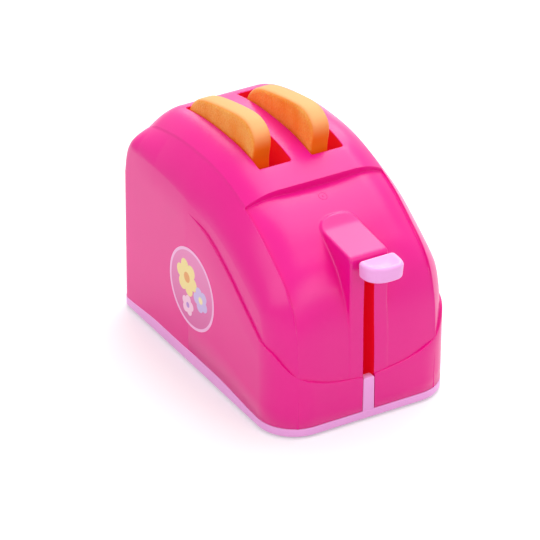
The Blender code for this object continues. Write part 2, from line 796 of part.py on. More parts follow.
def make_screw(name, length, place, direction):
    """A pan-head screw: a turned profile with a cross recess, its head's underside at place."""
    profile = [
        (0.0, 0.0, HEAD_HEIGHT),
        (HEAD_RADIUS * 0.6, 0.0, HEAD_HEIGHT * 0.92),
        (HEAD_RADIUS, 0.0, HEAD_HEIGHT * 0.45),
        (HEAD_RADIUS, 0.0, 0.0),
        (SHANK_RADIUS, 0.0, 0.0),
        (SHANK_RADIUS, 0.0, SHANK_RADIUS - length),
        (0.0, 0.0, -length),
    ]
    bm = bmesh.new()
    line = [bm.verts.new(point) for point in profile]
    for first, second in zip(line, line[1:]):
        bm.edges.new((first, second))
    screw = add_object(name, bm, parts, steel)
    turn = screw.modifiers.new("turn", "SCREW")
    turn.steps = 16
    turn.render_steps = 16
    turn.use_merge_vertices = True
    turn.merge_threshold = MERGE_DISTANCE
    for i, (long_x, long_y) in enumerate(((CROSS_LENGTH, CROSS_WIDTH), (CROSS_WIDTH, CROSS_LENGTH))):
        low = (-long_x / 2, -long_y / 2, HEAD_HEIGHT - CROSS_DEPTH)
        high = (long_x / 2, long_y / 2, HEAD_HEIGHT + OVERRUN)
        blade = add_tool(f"{name} cross {i}", box(low, high))
        blade.parent = screw
        cut(screw, blade)
    screw.location = place
    screw.rotation_mode = "QUATERNION"
    screw.rotation_quaternion = Vector(direction).to_track_quat("Z", "Y")
    return screw


def make_base_screws():
    seat = UNDERSIDE + BASE_BOSS_HEIGHT - SCREW_SEAT - GAP
    for word, x, y in screw_places():
        make_screw(f"base_screw_{word}", BASE_SCREW_LENGTH, (x, y, seat), (0, 0, -1))


def make_guide_rods():
    """Two steel rods between the base sockets and the sockets under the roof."""
    for side, word in ((-1, "left"), (1, "right")):
        x = side * ROD_SPREAD
        foot, head = FLOOR_TOP + GAP * 2, UNDERSIDE + ROD_TOP
        bm = rod((x, ROD_Y, foot), (x, ROD_Y, head), ROD_RADIUS, 20)
        guide = add_object(f"guide_rod_{word}", bm, parts, steel)
        smooth(guide)


def spring_ends():
    """The lowest and highest middle of the wire, between the floor and the slider's sleeve."""
    low = FLOOR_TOP + GAP + SPRING_WIRE / 2
    high = UNDERSIDE + SLEEVE_TOP - SLEEVE_LENGTH - GAP - SPRING_WIRE / 2
    return low, high


def make_springs():
    """A helix of even pitch round each rod, with its wire as a bevelled curve."""
    low, high = spring_ends()
    turns = np.linspace(0, SPRING_TURNS, SPRING_TURNS * SPRING_TURN_POINTS + 1)
    angle = turns * 2 * math.pi
    heights = low + (high - low) * turns / SPRING_TURNS
    print("least gap between the spring's turns", (high - low) / SPRING_TURNS - SPRING_WIRE)
    for side, word in ((-1, "left"), (1, "right")):
        curve = bpy.data.curves.new(f"lift_spring_{word}", "CURVE")
        curve.dimensions = "3D"
        curve.bevel_depth = SPRING_WIRE / 2
        curve.bevel_resolution = 1
        curve.use_fill_caps = True
        line = curve.splines.new("POLY")
        line.points.add(len(turns) - 1)
        points = np.ones((len(turns), 4))
        points[:, 0] = side * ROD_SPREAD + SPRING_RADIUS * np.cos(angle)
        points[:, 1] = ROD_Y + SPRING_RADIUS * np.sin(angle)
        points[:, 2] = heights
        line.points.foreach_set("co", points.ravel())
        spring = bpy.data.objects.new(f"lift_spring_{word}", curve)
        curve.materials.append(steel)
        parts.objects.link(spring)


def make_lever_slider():
    """The sliding block: two sleeves on the rods, a bridge, and the arm that reaches the knob."""
    top = UNDERSIDE + SLEEVE_TOP
    foot = top - SLEEVE_LENGTH
    half = BRIDGE_THICKNESS / 2
    back = ROD_Y + SLEEVE_RADIUS
    bridge = box((-ROD_SPREAD, ROD_Y - half, foot + SUNK), (ROD_SPREAD, back, top - SUNK))
    slider = add_object("lever_slider", bridge, parts, white_plastic)
    arm_low = (-ARM_WIDTH / 2, FRONT - KNOB_BACK_GAP - SOCKET_DEPTH + GAP, ARM_Z - ARM_HEIGHT / 2)
    arm_high = (ARM_WIDTH / 2, ROD_Y, ARM_Z + ARM_HEIGHT / 2)
    join(slider, add_tool("arm", box(arm_low, arm_high)))
    brace = gusset(foot)
    join(slider, brace)
    for side, word in ((-1, "left"), (1, "right")):
        x = side * ROD_SPREAD
        sleeve = rod((x, ROD_Y, foot), (x, ROD_Y, top), SLEEVE_RADIUS)
        bore = rod((x, ROD_Y, foot - OVERRUN), (x, ROD_Y, top + OVERRUN), BORE_CLEARANCE)
        join(slider, add_tool(f"sleeve {word}", sleeve))
        cut(slider, add_tool(f"sleeve bore {word}", bore))
        x = side * RACK_SCREW_SPREAD
        z = rack_screw_height()
        tip = back - RACK_SCREW_LENGTH
        pad = rod((x, tip - WALL / 2, z), (x, back - SUNK, z), BORE_RADIUS + WALL / 2)
        hole = rod((x, tip, z), (x, back + OVERRUN, z), BORE_RADIUS, 16)
        join(slider, add_tool(f"screw pad {word}", pad))
        cut(slider, add_tool(f"screw hole {word}", hole))
    smooth(slider)
    return slider


def gusset(foot):
    """A triangular web that braces the arm against the bridge."""
    x = ARM_WIDTH / 4
    corner = (ROD_Y - BRIDGE_THICKNESS / 2 + SUNK, ARM_Z - ARM_HEIGHT / 2 + SUNK)
    outline = [corner, (corner[0] - SLEEVE_LENGTH, corner[1]), (corner[0], foot + SUNK * 2)]
    levels = [[(side * x, y, z) for y, z in outline] for side in (-1, 1)]
    return add_tool("gusset", rings(levels))


def rack_screw_height():
    return UNDERSIDE + SLEEVE_TOP - SLEEVE_LENGTH + RACK_PLATE_HEIGHT / 2


def make_lever_knob():
    """The thumb pad: a D from above, with a rounded rim, a dished top and a socket behind.

    It sits a little to the right of the slot.
    """
    turn = np.linspace(0, math.pi, KNOB_STEPS + 1)
    half, back = KNOB_WIDTH / 2, FRONT - KNOB_BACK_GAP
    depth = KNOB_REACH - KNOB_BACK_GAP
    corner = KNOB_EDGE
    levels = []
    steps = np.linspace(0, math.pi / 2, 4)
    low = [(KNOB_EDGE * (1 - math.sin(a)), KNOB_EDGE * (1 - math.cos(a))) for a in steps[::-1]]
    high = [(KNOB_HEIGHT - z, inset) for z, inset in low[::-1]]
    for z, inset in low + high:
        lean = KNOB_TAPER * (1 - z / KNOB_HEIGHT)
        r = half - inset - lean / 2
        x = r * np.sign(np.cos(turn)) * np.abs(np.cos(turn)) ** 0.75
        y = back - corner - (depth - corner - inset - lean) * np.sin(turn) ** 0.75
        x = np.concatenate([x, [-(r - corner / 3), r - corner / 3]])
        y = np.concatenate([y, [back - inset / 2] * 2])
        height = np.full_like(x, UNDERSIDE + KNOB_FOOT + z)
        levels.append(np.stack([x + KNOB_SHIFT, y, height], 1))
    bm = rings(levels, cap_last=False)
    rim = levels[-1]
    middle = np.array([KNOB_SHIFT, back - depth / 2, rim[0, 2]])
    bm.verts.ensure_lookup_table()
    last = [bm.verts[i] for i in range(len(bm.verts) - len(rim), len(bm.verts))]
    for share in (0.72, 0.4):
        drop = KNOB_DISH * (1 - share**2)
        points = middle + (rim - middle) * share - np.array([0, 0, drop])
        ring = [bm.verts.new(point) for point in points]
        for i in range(len(ring)):
            j = (i + 1) % len(ring)
            bm.faces.new([last[i], last[j], ring[j], ring[i]])
        last = ring
    bm.faces.new(last)
    knob = add_object("lever_knob", bm, parts, pale_pink)
    low = (-ARM_WIDTH / 2 - GAP, back - SOCKET_DEPTH, ARM_Z - ARM_HEIGHT / 2 - GAP)
    high = (ARM_WIDTH / 2 + GAP, back + OVERRUN, ARM_Z + ARM_HEIGHT / 2 + GAP)
    cut(knob, add_tool("knob socket", box(low, high)))
    smooth(knob)
    return knob


def sloped(bm, middle):
    """Shears a shape so that it falls towards the back by SLICE_SLOPE about the line y = middle."""
    for vert in bm.verts:
        vert.co.z -= SLICE_SLOPE * (vert.co.y - middle)
    return bm


def tray_middle():
    return FRONT + BREAD_START + BREAD_LENGTH / 2


def make_toast_rack():
    """Two sloping trays under the slots, carried on arms from a plate screwed to the slider."""
    start = ROD_Y + SLEEVE_RADIUS + GAP
    middle_z = rack_screw_height()
    low = (-RACK_PLATE_HALF, start, middle_z - RACK_PLATE_HEIGHT / 2)
    high = (RACK_PLATE_HALF, start + RACK_PLATE, middle_z + RACK_PLATE_HEIGHT / 2)
    rack = add_object("toast_rack", box(low, high), parts, white_plastic)
    floor = UNDERSIDE + TRAY_MIDDLE
    middle = tray_middle()
    front, back = FRONT + BREAD_START - CHUTE_WALL, FRONT + BREAD_START + BREAD_LENGTH + CHUTE_WALL
    for side, word in ((-1, "left"), (1, "right")):
        x = bread_middle(side)
        half = BREAD_WIDTH / 2 + TRAY_WALL
        tray = box((x - half, front, floor - TRAY_WALL), (x + half, back, floor + TRAY_LIP))
        join(rack, add_tool(f"tray {word}", sloped(tray, middle)))
        half -= TRAY_WALL
        inside = box(
            (x - half, front + TRAY_WALL, floor),
            (x + half, back - TRAY_WALL, floor + TRAY_LIP + OVERRUN),
        )
        cut(rack, add_tool(f"tray inside {word}", sloped(inside, middle)))
        arm = box(
            (x - TRAY_ARM / 2, start + RACK_PLATE - SUNK, floor - TRAY_WALL + SUNK),
            (x + TRAY_ARM / 2, front + SUNK, floor + TRAY_LIP - SUNK),
        )
        join(rack, add_tool(f"tray arm {word}", sloped(arm, middle)))
        hole_x = side * RACK_SCREW_SPREAD
        hole_start = (hole_x, start - OVERRUN, middle_z)
        hole_end = (hole_x, start + RACK_PLATE + OVERRUN, middle_z)
        hole = rod(hole_start, hole_end, BORE_RADIUS, 16)
        cut(rack, add_tool(f"rack hole {word}", hole))
        y = start + RACK_PLATE + GAP
        make_screw(f"rack_screw_{word}", RACK_SCREW_LENGTH, (hole_x, y, middle_z), (0, 1, 0))
    return rack


def make_hold_down_clip():
    """A bent strip with two prongs that grip the lever's arm at the bottom of its travel."""
    y = FRONT + CLIP_BACK
    foot = FLOOR_TOP + CLIP_BOSS_HEIGHT + GAP
    end = y + CLIP_FOOT_LENGTH
    plate = box((-CLIP_WIDTH / 2, y, foot), (CLIP_WIDTH / 2, end, foot + CLIP_SHEET))
    clip = add_object("hold_down_clip", plate, parts, steel)
    near = ARM_WIDTH / 2 + GAP
    head = ARM_Z - LEVER_TRAVEL + ARM_HEIGHT / 4
    flare = CLIP_SHEET
    for side, word in ((-1, "left"), (1, "right")):
        outline = [
            (near, foot),
            (near + CLIP_SHEET, foot),
            (near + CLIP_SHEET, head - flare),
            (near + CLIP_SHEET + flare, head),
            (near + flare, head),
            (near, head - flare),
        ]
        levels = []
        for depth in (y, y + CLIP_WIDTH / 2):
            levels.append([(side * x, depth, z) for x, z in outline])
        join(clip, add_tool(f"prong {word}", rings(levels)))
    hole_y = FRONT + CLIP_BACK + CLIP_FOOT_LENGTH / 2
    hole = rod((0, hole_y, foot - OVERRUN), (0, hole_y, foot + CLIP_SHEET + OVERRUN), BORE_RADIUS, 16)
    cut(clip, add_tool("clip hole", hole))
    seat = foot + CLIP_SHEET + GAP
    make_screw("clip_screw", CLIP_SCREW_LENGTH, (0, hole_y, seat), (0, 0, 1))
    return clip


def slice_rings():
    """A slice's outline with its crust rounded over: rings from one face to the other."""
    half = smooth_curve(SLICE_SHARES, 2) * (SLICE_HALF_LENGTH, SLICE_HEIGHT)
    outline = np.vstack([half, half[-2:0:-1] * (-1, 1)])
    centre = np.array([0.0, SLICE_HEIGHT / 2])
    flat = SLICE_THICKNESS / 2 - SLICE_CRUST
    levels = []
    for angle in np.linspace(-math.pi / 2, math.pi / 2, 7):
        inset = SLICE_CRUST * (1 - math.cos(angle))
        x = math.copysign(flat, angle) * (angle != 0) + SLICE_CRUST * math.sin(angle)
        reach = np.array([SLICE_HALF_LENGTH, SLICE_HEIGHT / 2])
        ring = centre + (outline - centre) * (reach - inset) / reach
        levels.append(np.column_stack([np.full(len(ring), x), ring]))
    return levels


def make_slice(side, word, start):
    """One slice of toast, leaning against the left wall of its slot on its sloping tray."""
    middle = FRONT + start + SLICE_HALF_LENGTH
    left = bread_middle(side) - BREAD_WIDTH / 2 + SLICE_SIDE_GAP
    x = left + SLICE_THICKNESS / 2
    floor = UNDERSIDE + TRAY_MIDDLE + GAP
    bm = rings(slice_rings())
    bmesh.ops.translate(bm, verts=bm.verts, vec=(x, middle, floor))
    toast = add_object(f"toast_{word}", sloped(bm, tray_middle()), parts, crumb)
    smooth(toast)
    return toast


def hang(pieces, name, place):
    """Moves the pieces' origins to one point on their joint's axis and parents them to an empty."""
    axis = bpy.data.objects.new(name, None)
    axis.location = place
    axis.empty_display_size = SLEEVE_LENGTH
    parts.objects.link(axis)
    for piece in pieces:
        if piece.location.length == 0.0:
            piece.data.transform(Matrix.Translation(-Vector(place)))
        else:
            piece.location = piece.location - Vector(place)
        piece.parent = axis
    return axis


clear_scene()
parts = new_collection("toy toaster")
tools = new_collection("cutters")
pink = plastic("glossy pink moulding", (0.98, 0.06, 0.38), 0.22)
pale_pink = plastic("pale pink moulding", (0.94, 0.40, 0.82), 0.32)
white_plastic = plastic("white moulding", (0.80, 0.80, 0.78), 0.40)
steel = plastic("zinc plated steel", (0.62, 0.63, 0.65), 0.30, 1.0)
crumb = plastic("orange slice", (0.92, 0.22, 0.03), 0.50)
sticker_film = plastic("sticker film", (0.80, 0.12, 0.45), 0.35)

make_body_shell()
make_base_tray()
make_side_sticker()
make_base_screws()
make_guide_rods()
make_springs()
make_hold_down_clip()
slider = make_lever_slider()
rack = make_toast_rack()
knob = make_lever_knob()
rack_screws = [bpy.data.objects[f"rack_screw_{word}"] for word in ("left", "right")]
lever_axis = hang([slider, rack, knob, *rack_screws], "lever_axis", (0.0, ROD_Y, ARM_Z))
for toast_side, toast_word, toast_offset in zip((-1, 1), ("left", "right"), SLICE_OFFSETS):
    toast = make_slice(toast_side, toast_word, BREAD_START + toast_offset)
    foot_of_slice = (bread_middle(toast_side), tray_middle(), UNDERSIDE + TRAY_MIDDLE)
    hang([toast], f"toast_{toast_word}_axis", foot_of_slice)
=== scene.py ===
"""The look of a toy toaster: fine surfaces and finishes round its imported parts, in metres, +Z up.

The narrow end with the lever faces -Y. Heights of the housing are measured up from the underside
of the pale base, and lengths back from the front of the housing.
"""

import math

import bmesh
import bpy
import numpy as np
from mathutils import Matrix, Vector


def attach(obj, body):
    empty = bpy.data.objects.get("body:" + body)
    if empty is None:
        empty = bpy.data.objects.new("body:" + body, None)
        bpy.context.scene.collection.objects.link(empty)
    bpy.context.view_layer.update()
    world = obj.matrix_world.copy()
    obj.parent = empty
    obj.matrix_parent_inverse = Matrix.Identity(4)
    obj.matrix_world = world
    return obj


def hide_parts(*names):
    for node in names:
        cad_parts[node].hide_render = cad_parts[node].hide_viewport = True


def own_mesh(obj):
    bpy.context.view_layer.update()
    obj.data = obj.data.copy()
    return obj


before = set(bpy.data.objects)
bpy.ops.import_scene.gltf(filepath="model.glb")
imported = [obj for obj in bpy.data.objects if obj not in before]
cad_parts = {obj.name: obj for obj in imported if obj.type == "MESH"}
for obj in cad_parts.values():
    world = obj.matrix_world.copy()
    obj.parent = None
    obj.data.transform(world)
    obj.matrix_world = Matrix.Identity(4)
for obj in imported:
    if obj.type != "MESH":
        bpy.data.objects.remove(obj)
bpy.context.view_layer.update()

MM = 0.001

# Housing, from its overall sizes
BODY_LENGTH = 0.1800
ARCH_HEIGHT = 0.1262
HALF = 0.0575
FRONT_CORNER = 0.0230
BACK_CORNER = 0.0083
FOOT_HEIGHT = 0.0015
RIM_HEIGHT = 0.0048
GAP = 0.0003
WALL = 0.0022
LINING_DEPTH = WALL * 2.2
FOOT_TURN_UP = WALL * 4
SKIN = 0.00008
SIDE_STEP = 0.0013
STEP_FADE = (0.070, 0.108)
CREASE_SHARE = 0.91
PANEL_STEP = 0.0011
PANEL_HALF = 0.0435
PANEL_EDGE = 0.0009
PANEL_EDGE_SHARE = 0.7
PANEL_BACK_SHARES = (0.90, 0.97)
SHOULDER_NEAR_SHARE = 0.06
LEVEL_SHARE = 0.56
RISER_HEIGHT = 0.0028
RISER_RUN = 0.0008
RISER_START = 0.0585
RISER_TAPER = 0.0300
PANEL_FADE_SHARES = (0.46, 0.66)
FRONT = (0.0160 - BODY_LENGTH) / 2
UNDERSIDE = FOOT_HEIGHT
SHELL_FOOT = UNDERSIDE + RIM_HEIGHT + GAP

# The shoulder line over the arch: place in BODY_LENGTH, height in ARCH_HEIGHT, then the rise of
# the middle over it and its fall to the side, both in HALF
ARCH_SHARES = (
    (0.0105, 0.020, 0.020, 0.310),
    (0.0120, 0.215, 0.020, 0.305),
    (0.0200, 0.461, 0.026, 0.300),
    (0.051, 0.615, 0.048, 0.295),
    (0.099, 0.704, 0.070, 0.335),
    (0.159, 0.769, 0.085, 0.350),
    (0.249, 0.857, 0.100, 0.370),
    (0.321, 0.906, 0.110, 0.372),
    (0.430, 0.960, 0.122, 0.390),
    (0.522, 0.985, 0.124, 0.392),
    (0.615, 0.991, 0.124, 0.355),
    (0.741, 0.983, 0.128, 0.303),
    (0.869, 0.950, 0.135, 0.245),
    (0.934, 0.918, 0.118, 0.210),
    (0.962, 0.884, 0.068, 0.190),
    (0.984, 0.820, 0.022, 0.175),
    (0.995, 0.720, 0.008, 0.155),
    (0.996, 0.600, 0.006, 0.147),
    (0.996, 0.020, 0.006, 0.145),
)
SHOULDER_PLACE_SHARES = (0.0, 0.35, 0.80, 0.92, 1.0)
SHOULDER_POWER_SHARES = (1.90, 1.76, 1.52, 2.30, 4.20)
# The skirt's top edge: how far round from the middle of the front to the middle of the back, and
# its height in ARCH_HEIGHT
SKIRT_SHARES = (
    (0.000, 0.213),
    (0.068, 0.230),
    (0.113, 0.256),
    (0.159, 0.298),
    (0.189, 0.353),
    (0.211, 0.404),
    (0.242, 0.430),
    (0.270, 0.474),
    (0.308, 0.533),
    (0.346, 0.594),
    (0.385, 0.651),
    (0.424, 0.702),
    (0.463, 0.739),
    (0.522, 0.768),
    (0.594, 0.780),
    (0.682, 0.785),
    (0.745, 0.760),
    (0.780, 0.715),
    (0.820, 0.690),
    (1.000, 0.690),
)
SKIRT_WALL = 0.0024
SKIRT_EDGE = 0.0006
SKIRT_SINK = 0.0004

# Hood, lever slot and bread slots
HOOD_HALF_WIDTH = 0.0121
HOOD_FRONT = 0.0021
HOOD_END = 0.0388
HOOD_REACH = 0.0088
HOOD_END_POWER = 2.5
HOOD_BLEND = 0.0026
HOOD_PROUD_SHARES = (0.55, 0.75)
HOOD_START_SHARES = (-0.20, 0.10)
HOOD_TOP = 0.1031
HOOD_CLIMB = 0.10
HOOD_PROUD = 0.0013
HOOD_RIM = 0.0013
HOOD_CORNER = 0.0044
HOOD_FILLET = 0.0009
HOOD_DRAFT = 0.0003
SLOT_FOOT_WIDTH = 0.0080
SLOT_HEAD_WIDTH = 0.0062
SLOT_HEAD = 0.0986
CHANNEL_DEPTH = 0.0120
BREAD_INNER = 0.0064
BREAD_WIDTH = 0.0205
BREAD_START = 0.0747
BREAD_LENGTH = 0.0827
BREAD_CORNER = 0.0014
BREAD_LIP = 0.0006
CHUTE_FOOT = 0.0905
CHUTE_WALL = 0.0016
GATE_PLACE = 0.0515
GATE_RADIUS = 0.0024
GATE_RIDGE = 0.0003
GATE_SINK_SHARE = 0.3

STEPS = 900


def linear(code):
    """Turns an sRGB hex colour into linear red, green, blue and alpha."""
    parts = [int(code[i : i + 2], 16) / 255 for i in (1, 3, 5)]
    return (*[c / 12.92 if c <= 0.04045 else ((c + 0.055) / 1.055) ** 2.4 for c in parts], 1.0)


def add_node(tree, kind, inputs=None, **settings):
    """Adds a node with its settings; each input is a value, or a socket to link from."""
    node = tree.nodes.new(kind)
    for key, value in settings.items():
        setattr(node, key, value)
    for key, value in (inputs or {}).items():
        socket = node.inputs[key]
        if isinstance(value, bpy.types.NodeSocket):
            tree.links.new(value, socket)
        else:
            socket.default_value = value
    return node


def smooth_curve(points, steps=60):
    """A Catmull-Rom curve through rows of values: each span is the cubic whose slope at a point is
    half the step between its neighbours."""
    points = np.asarray(points, float)
    ends = np.vstack([2 * points[0] - points[1], points, 2 * points[-1] - points[-2]])
    a, b, c, d = ends[:-3, None], ends[1:-2, None], ends[2:-1, None], ends[3:, None]
    t = np.linspace(0, 1, steps, endpoint=False)[None, :, None]
    spans = b + t * (c - a) / 2
    spans = spans + t**2 * (2 * a - 5 * b + 4 * c - d) / 2
    spans = spans + t**3 * (3 * b - a - 3 * c + d) / 2
    return np.vstack([spans.reshape(-1, points.shape[1]), points[-1:]])


def lengths_along(points):
    """The distance from the first point to each point of a line."""
    return np.concatenate([[0.0], np.cumsum(np.linalg.norm(np.diff(points, axis=0), axis=1))])


def softened(table, width):
    """Each column averaged with a bell of that many rows, its two ends carried on straight."""
    reach = width * 3
    bell = np.exp(-0.5 * (np.arange(-reach, reach + 1) / width) ** 2)
    bell /= bell.sum()
    before = 2 * table[0] - table[reach:0:-1]
    after = 2 * table[-1] - table[-2 : -reach - 2 : -1]
    long = np.vstack([before, table, after])
    return np.stack([np.convolve(column, bell, "valid") for column in long.T], axis=1)


def smooth_step(value, low, high):
    share = np.clip((value - low) / (high - low), 0, 1)
    return share * share * (3 - 2 * share)


def arch_table():
    """The shoulder line at even steps of its length: place, height, rise and fall, softened."""
    curve = smooth_curve(np.array(ARCH_SHARES) * (BODY_LENGTH, ARCH_HEIGHT, HALF, HALF))
    along = lengths_along(curve[:, :2])
    stops = np.linspace(0, along[-1], STEPS)
    table = np.stack([np.interp(stops, along, column) for column in curve.T], axis=1)
    return softened(table, 7), along[-1]


ARCH, ARCH_LENGTH = arch_table()


def arch_rows(stops):
    """The middle line at some shares of the arch, its inward normals, the rise and the fall."""
    slopes = np.gradient(ARCH[:, :2], axis=0)
    table = np.hstack([ARCH, slopes])
    rows = np.stack([np.interp(stops * (STEPS - 1), np.arange(STEPS), c) for c in table.T], axis=1)
    slopes = rows[:, 4:] / np.linalg.norm(rows[:, 4:], axis=1, keepdims=True)
    inward = np.stack([slopes[:, 1], -slopes[:, 0]], axis=1)
    return rows[:, :2] - inward * rows[:, 2:3], inward, rows[:, 2:3], rows[:, 3:4]


def side_half(place):
    """Half the housing's width above the skirt, at a place along it."""
    return HALF - SKIN - SIDE_STEP * (1 - smooth_step(place, *STEP_FADE))


def slot_half(height):
    """Half the lever slot's width at a height over the ground; above its head it stays the same."""
    share = np.clip((height - SHELL_FOOT) / (UNDERSIDE + SLOT_HEAD - SHELL_FOOT), 0, 1)
    return (SLOT_FOOT_WIDTH + (SLOT_HEAD_WIDTH - SLOT_FOOT_WIDTH) * share) / 2


def riser_stop():
    """The share of the arch's length at which the riser stands."""
    stops = np.linspace(0, 0.5, 400)
    return float(np.interp(RISER_START, arch_rows(stops)[0][:, 0], stops))


def panel_columns():
    """Places across the middle panel from its centre, closer where the hood's walls stand."""
    slot = SLOT_HEAD_WIDTH / 2
    lip = BREAD_INNER - BREAD_LIP
    wall = HOOD_HALF_WIDTH
    near = np.concatenate([np.linspace(0, slot, 7), np.linspace(slot, lip, 7)[1:]])
    to_wall = np.linspace(lip, wall - HOOD_RIM, 11)[1:]
    rim = wall - HOOD_RIM + HOOD_RIM * np.sin(np.linspace(0, math.pi / 2, 6))[1:]
    upright = wall + HOOD_DRAFT * np.linspace(0, 1, 4)[1:]
    fillet = wall + HOOD_DRAFT + HOOD_FILLET * (1 - np.cos(np.linspace(0, math.pi / 2, 6)))[1:]
    far = BREAD_INNER + BREAD_WIDTH + BREAD_LIP
    middle = np.linspace(fillet[-1], far, 14)[1:]
    outer = np.linspace(far, PANEL_HALF, 13)[1:]
    return np.concatenate([near, to_wall, rim, upright, fillet, middle, outer])


def arch_stops():
    """Rows along the arch, with a row on each end of the bread slots and close rows at the riser."""
    probe = np.linspace(0, 1, 3000)
    places = arch_rows(probe)[0][:, 0]
    riser = riser_stop()
    run = RISER_RUN / ARCH_LENGTH
    start = np.interp(BREAD_START - BREAD_LIP, places, probe)
    end = np.interp(BREAD_START + BREAD_LENGTH + BREAD_LIP, places, probe)
    return np.concatenate(
        [
            np.linspace(0, riser - run, 230, endpoint=False),
            np.linspace(riser - run, riser + run, 14, endpoint=False),
            np.linspace(riser + run, start, 12, endpoint=False),
            np.linspace(start, end, 70, endpoint=False),
            np.linspace(end, 1, 90),
        ]
    )


def skin_grid(stops, columns, detailed=True):
    """The housing's upper surface, as rows along the arch and columns from left to right.

    Each row lies in a plane square to the arch. From the middle out, the row is level, falls as a
    parabola to the shoulder line, then follows across = 1 - (1 - down)^power to the side, and last
    runs straight down the side to the foot.
    """
    places, inward, rise, fall = arch_rows(stops)
    half = side_half(places[:, :1])
    inner = columns[None, :] * np.ones_like(half)
    level = PANEL_HALF * LEVEL_SHARE
    inner_depth = rise * np.clip((inner - level) / (PANEL_HALF - level), 0, 1) ** 2
    near = SHOULDER_NEAR_SHARE
    down = np.concatenate([np.linspace(0, near, 4)[1:], np.linspace(near, 1, 18)[1:]])
    power = np.interp(places[:, :1] / BODY_LENGTH, SHOULDER_PLACE_SHARES, SHOULDER_POWER_SHARES)
    start = PANEL_HALF + PANEL_EDGE * PANEL_EDGE_SHARE
    spread = 1 - (1 - CREASE_SHARE * down) ** power
    outer = start + (half - start) * spread / (1 - (1 - CREASE_SHARE) ** power)
    step = PANEL_HALF + PANEL_EDGE * np.linspace(0, PANEL_EDGE_SHARE, 4)[1:]
    across = np.hstack([inner, np.broadcast_to(step, (len(half), 3)), outer])
    depth = np.hstack([inner_depth, np.repeat(rise, 3, axis=1), rise + fall * down])
    if detailed:
        depth = depth - relief(across, places, stops)
    slope_y, slope_z = inward[:, :1], inward[:, 1:]
    y = places[:, :1] + slope_y * depth
    z = places[:, 1:] + slope_z * depth
    edge_y, edge_z = y[:, -1:], z[:, -1:]
    foot_y = edge_y[0] + (edge_y[-1] - edge_y[0]) * stops[:, None]
    share = np.linspace(0, 1, 7)[1:]
    wall_y = edge_y + (foot_y - edge_y) * share
    wall_z = edge_z + (SHELL_FOOT - UNDERSIDE - edge_z) * share
    across = np.hstack([across, half + (side_half(foot_y) - half) * share])
    y, z = np.hstack([y, wall_y]), np.hstack([z, wall_z])
    grid = np.stack([across, FRONT + y, UNDERSIDE + z], axis=2)
    left = grid[:, :0:-1] * (-1, 1, 1)
    grid = np.concatenate([left, grid], axis=1)
    grid[[0, -1], :, 2] = SHELL_FOOT
    grid[..., 2] = np.maximum(grid[..., 2], SHELL_FOOT)
    return grid


def relief(across, places, stops):
    """How far the middle panel stands proud: below the shoulder line in front of the riser, above
    it behind. The riser's height is a parabola across, and it runs out down the front."""
    crown = np.clip(1 - (across / PANEL_HALF) ** 2, 0, 1)
    away = RISER_START - places[:, :1]
    near = np.clip(1 - np.abs(away) / RISER_TAPER, 0, 1) ** 2
    fade_low, fade_high = PANEL_FADE_SHARES
    fade = smooth_step(places[:, 1:] / ARCH_HEIGHT, fade_low, fade_high)
    fade = fade * (1 - smooth_step(places[:, :1] / BODY_LENGTH, *PANEL_BACK_SHARES))
    rim = 1 - smooth_step(across, PANEL_HALF, PANEL_HALF + PANEL_EDGE)
    run = RISER_RUN / ARCH_LENGTH
    behind = smooth_step(stops[:, None], riser_stop() - run / 2, riser_stop() + run / 2)
    front_relief = -RISER_HEIGHT * near * crown - PANEL_STEP * fade
    return (front_relief * (1 - behind) + PANEL_STEP * fade * behind) * rim


def lift_hood(grid):
    """Lifts the middle of the front to the hood, along the line midway between up and forwards.

    Over t = (y + z) / root 2, the hood's height h = (z - y) / root 2 is the lesser of its front
    plane and its climbing top plane, rounded where they meet. Towards its plan outline it drops by
    a quarter circle, an upright wall and a hollow quarter circle.
    """
    root = math.sqrt(2)
    x = grid[..., 0]
    y, z = grid[..., 1] - FRONT, grid[..., 2] - UNDERSIDE
    t, h = (y + z) / root, (z - y) / root
    front = t - root * HOOD_FRONT
    top = (root * HOOD_TOP - (1 - HOOD_CLIMB) * t) / (1 + HOOD_CLIMB)
    lesser = np.minimum(front, top)
    lesser = lesser - np.clip(HOOD_CORNER - np.abs(front - top), 0, None) ** 2 / (4 * HOOD_CORNER)
    lift = lesser - h
    proud = HOOD_PROUD * smooth_step(z / HOOD_TOP, *HOOD_PROUD_SHARES)
    lift = proud + (lift - proud + np.sqrt((lift - proud) ** 2 + HOOD_BLEND**2 / 4)) / 2
    lift = lift * smooth_step(h / HOOD_TOP, *HOOD_START_SHARES)
    place = y - lift / root
    beyond = np.clip(place - HOOD_END + HOOD_REACH, 0, None) / HOOD_REACH
    out_x = np.abs(x) / HOOD_HALF_WIDTH
    inside = HOOD_HALF_WIDTH * (1 - (out_x**HOOD_END_POWER + beyond**HOOD_END_POWER) ** (1 / HOOD_END_POWER))
    rim = np.minimum(HOOD_RIM, lift / 2)
    fillet = np.minimum(HOOD_FILLET, lift / 2)
    turn = np.clip(inside / HOOD_RIM, 0, 1)
    upper = lift - rim * (1 - np.sqrt(1 - (1 - turn) ** 2))
    fall = np.clip(-inside / HOOD_DRAFT, 0, 1)
    wall = lift - rim + (fillet - lift + rim) * fall
    out = np.clip((-inside - HOOD_DRAFT) / HOOD_FILLET, 0, 1)
    lower = fillet * (1 - np.sqrt(1 - (1 - out) ** 2))
    raised = np.where(inside >= 0, upper, np.where(-inside < HOOD_DRAFT, wall, lower))
    lifted = grid.copy()
    lifted[..., 1] -= raised / root
    lifted[..., 2] += raised / root
    return lifted


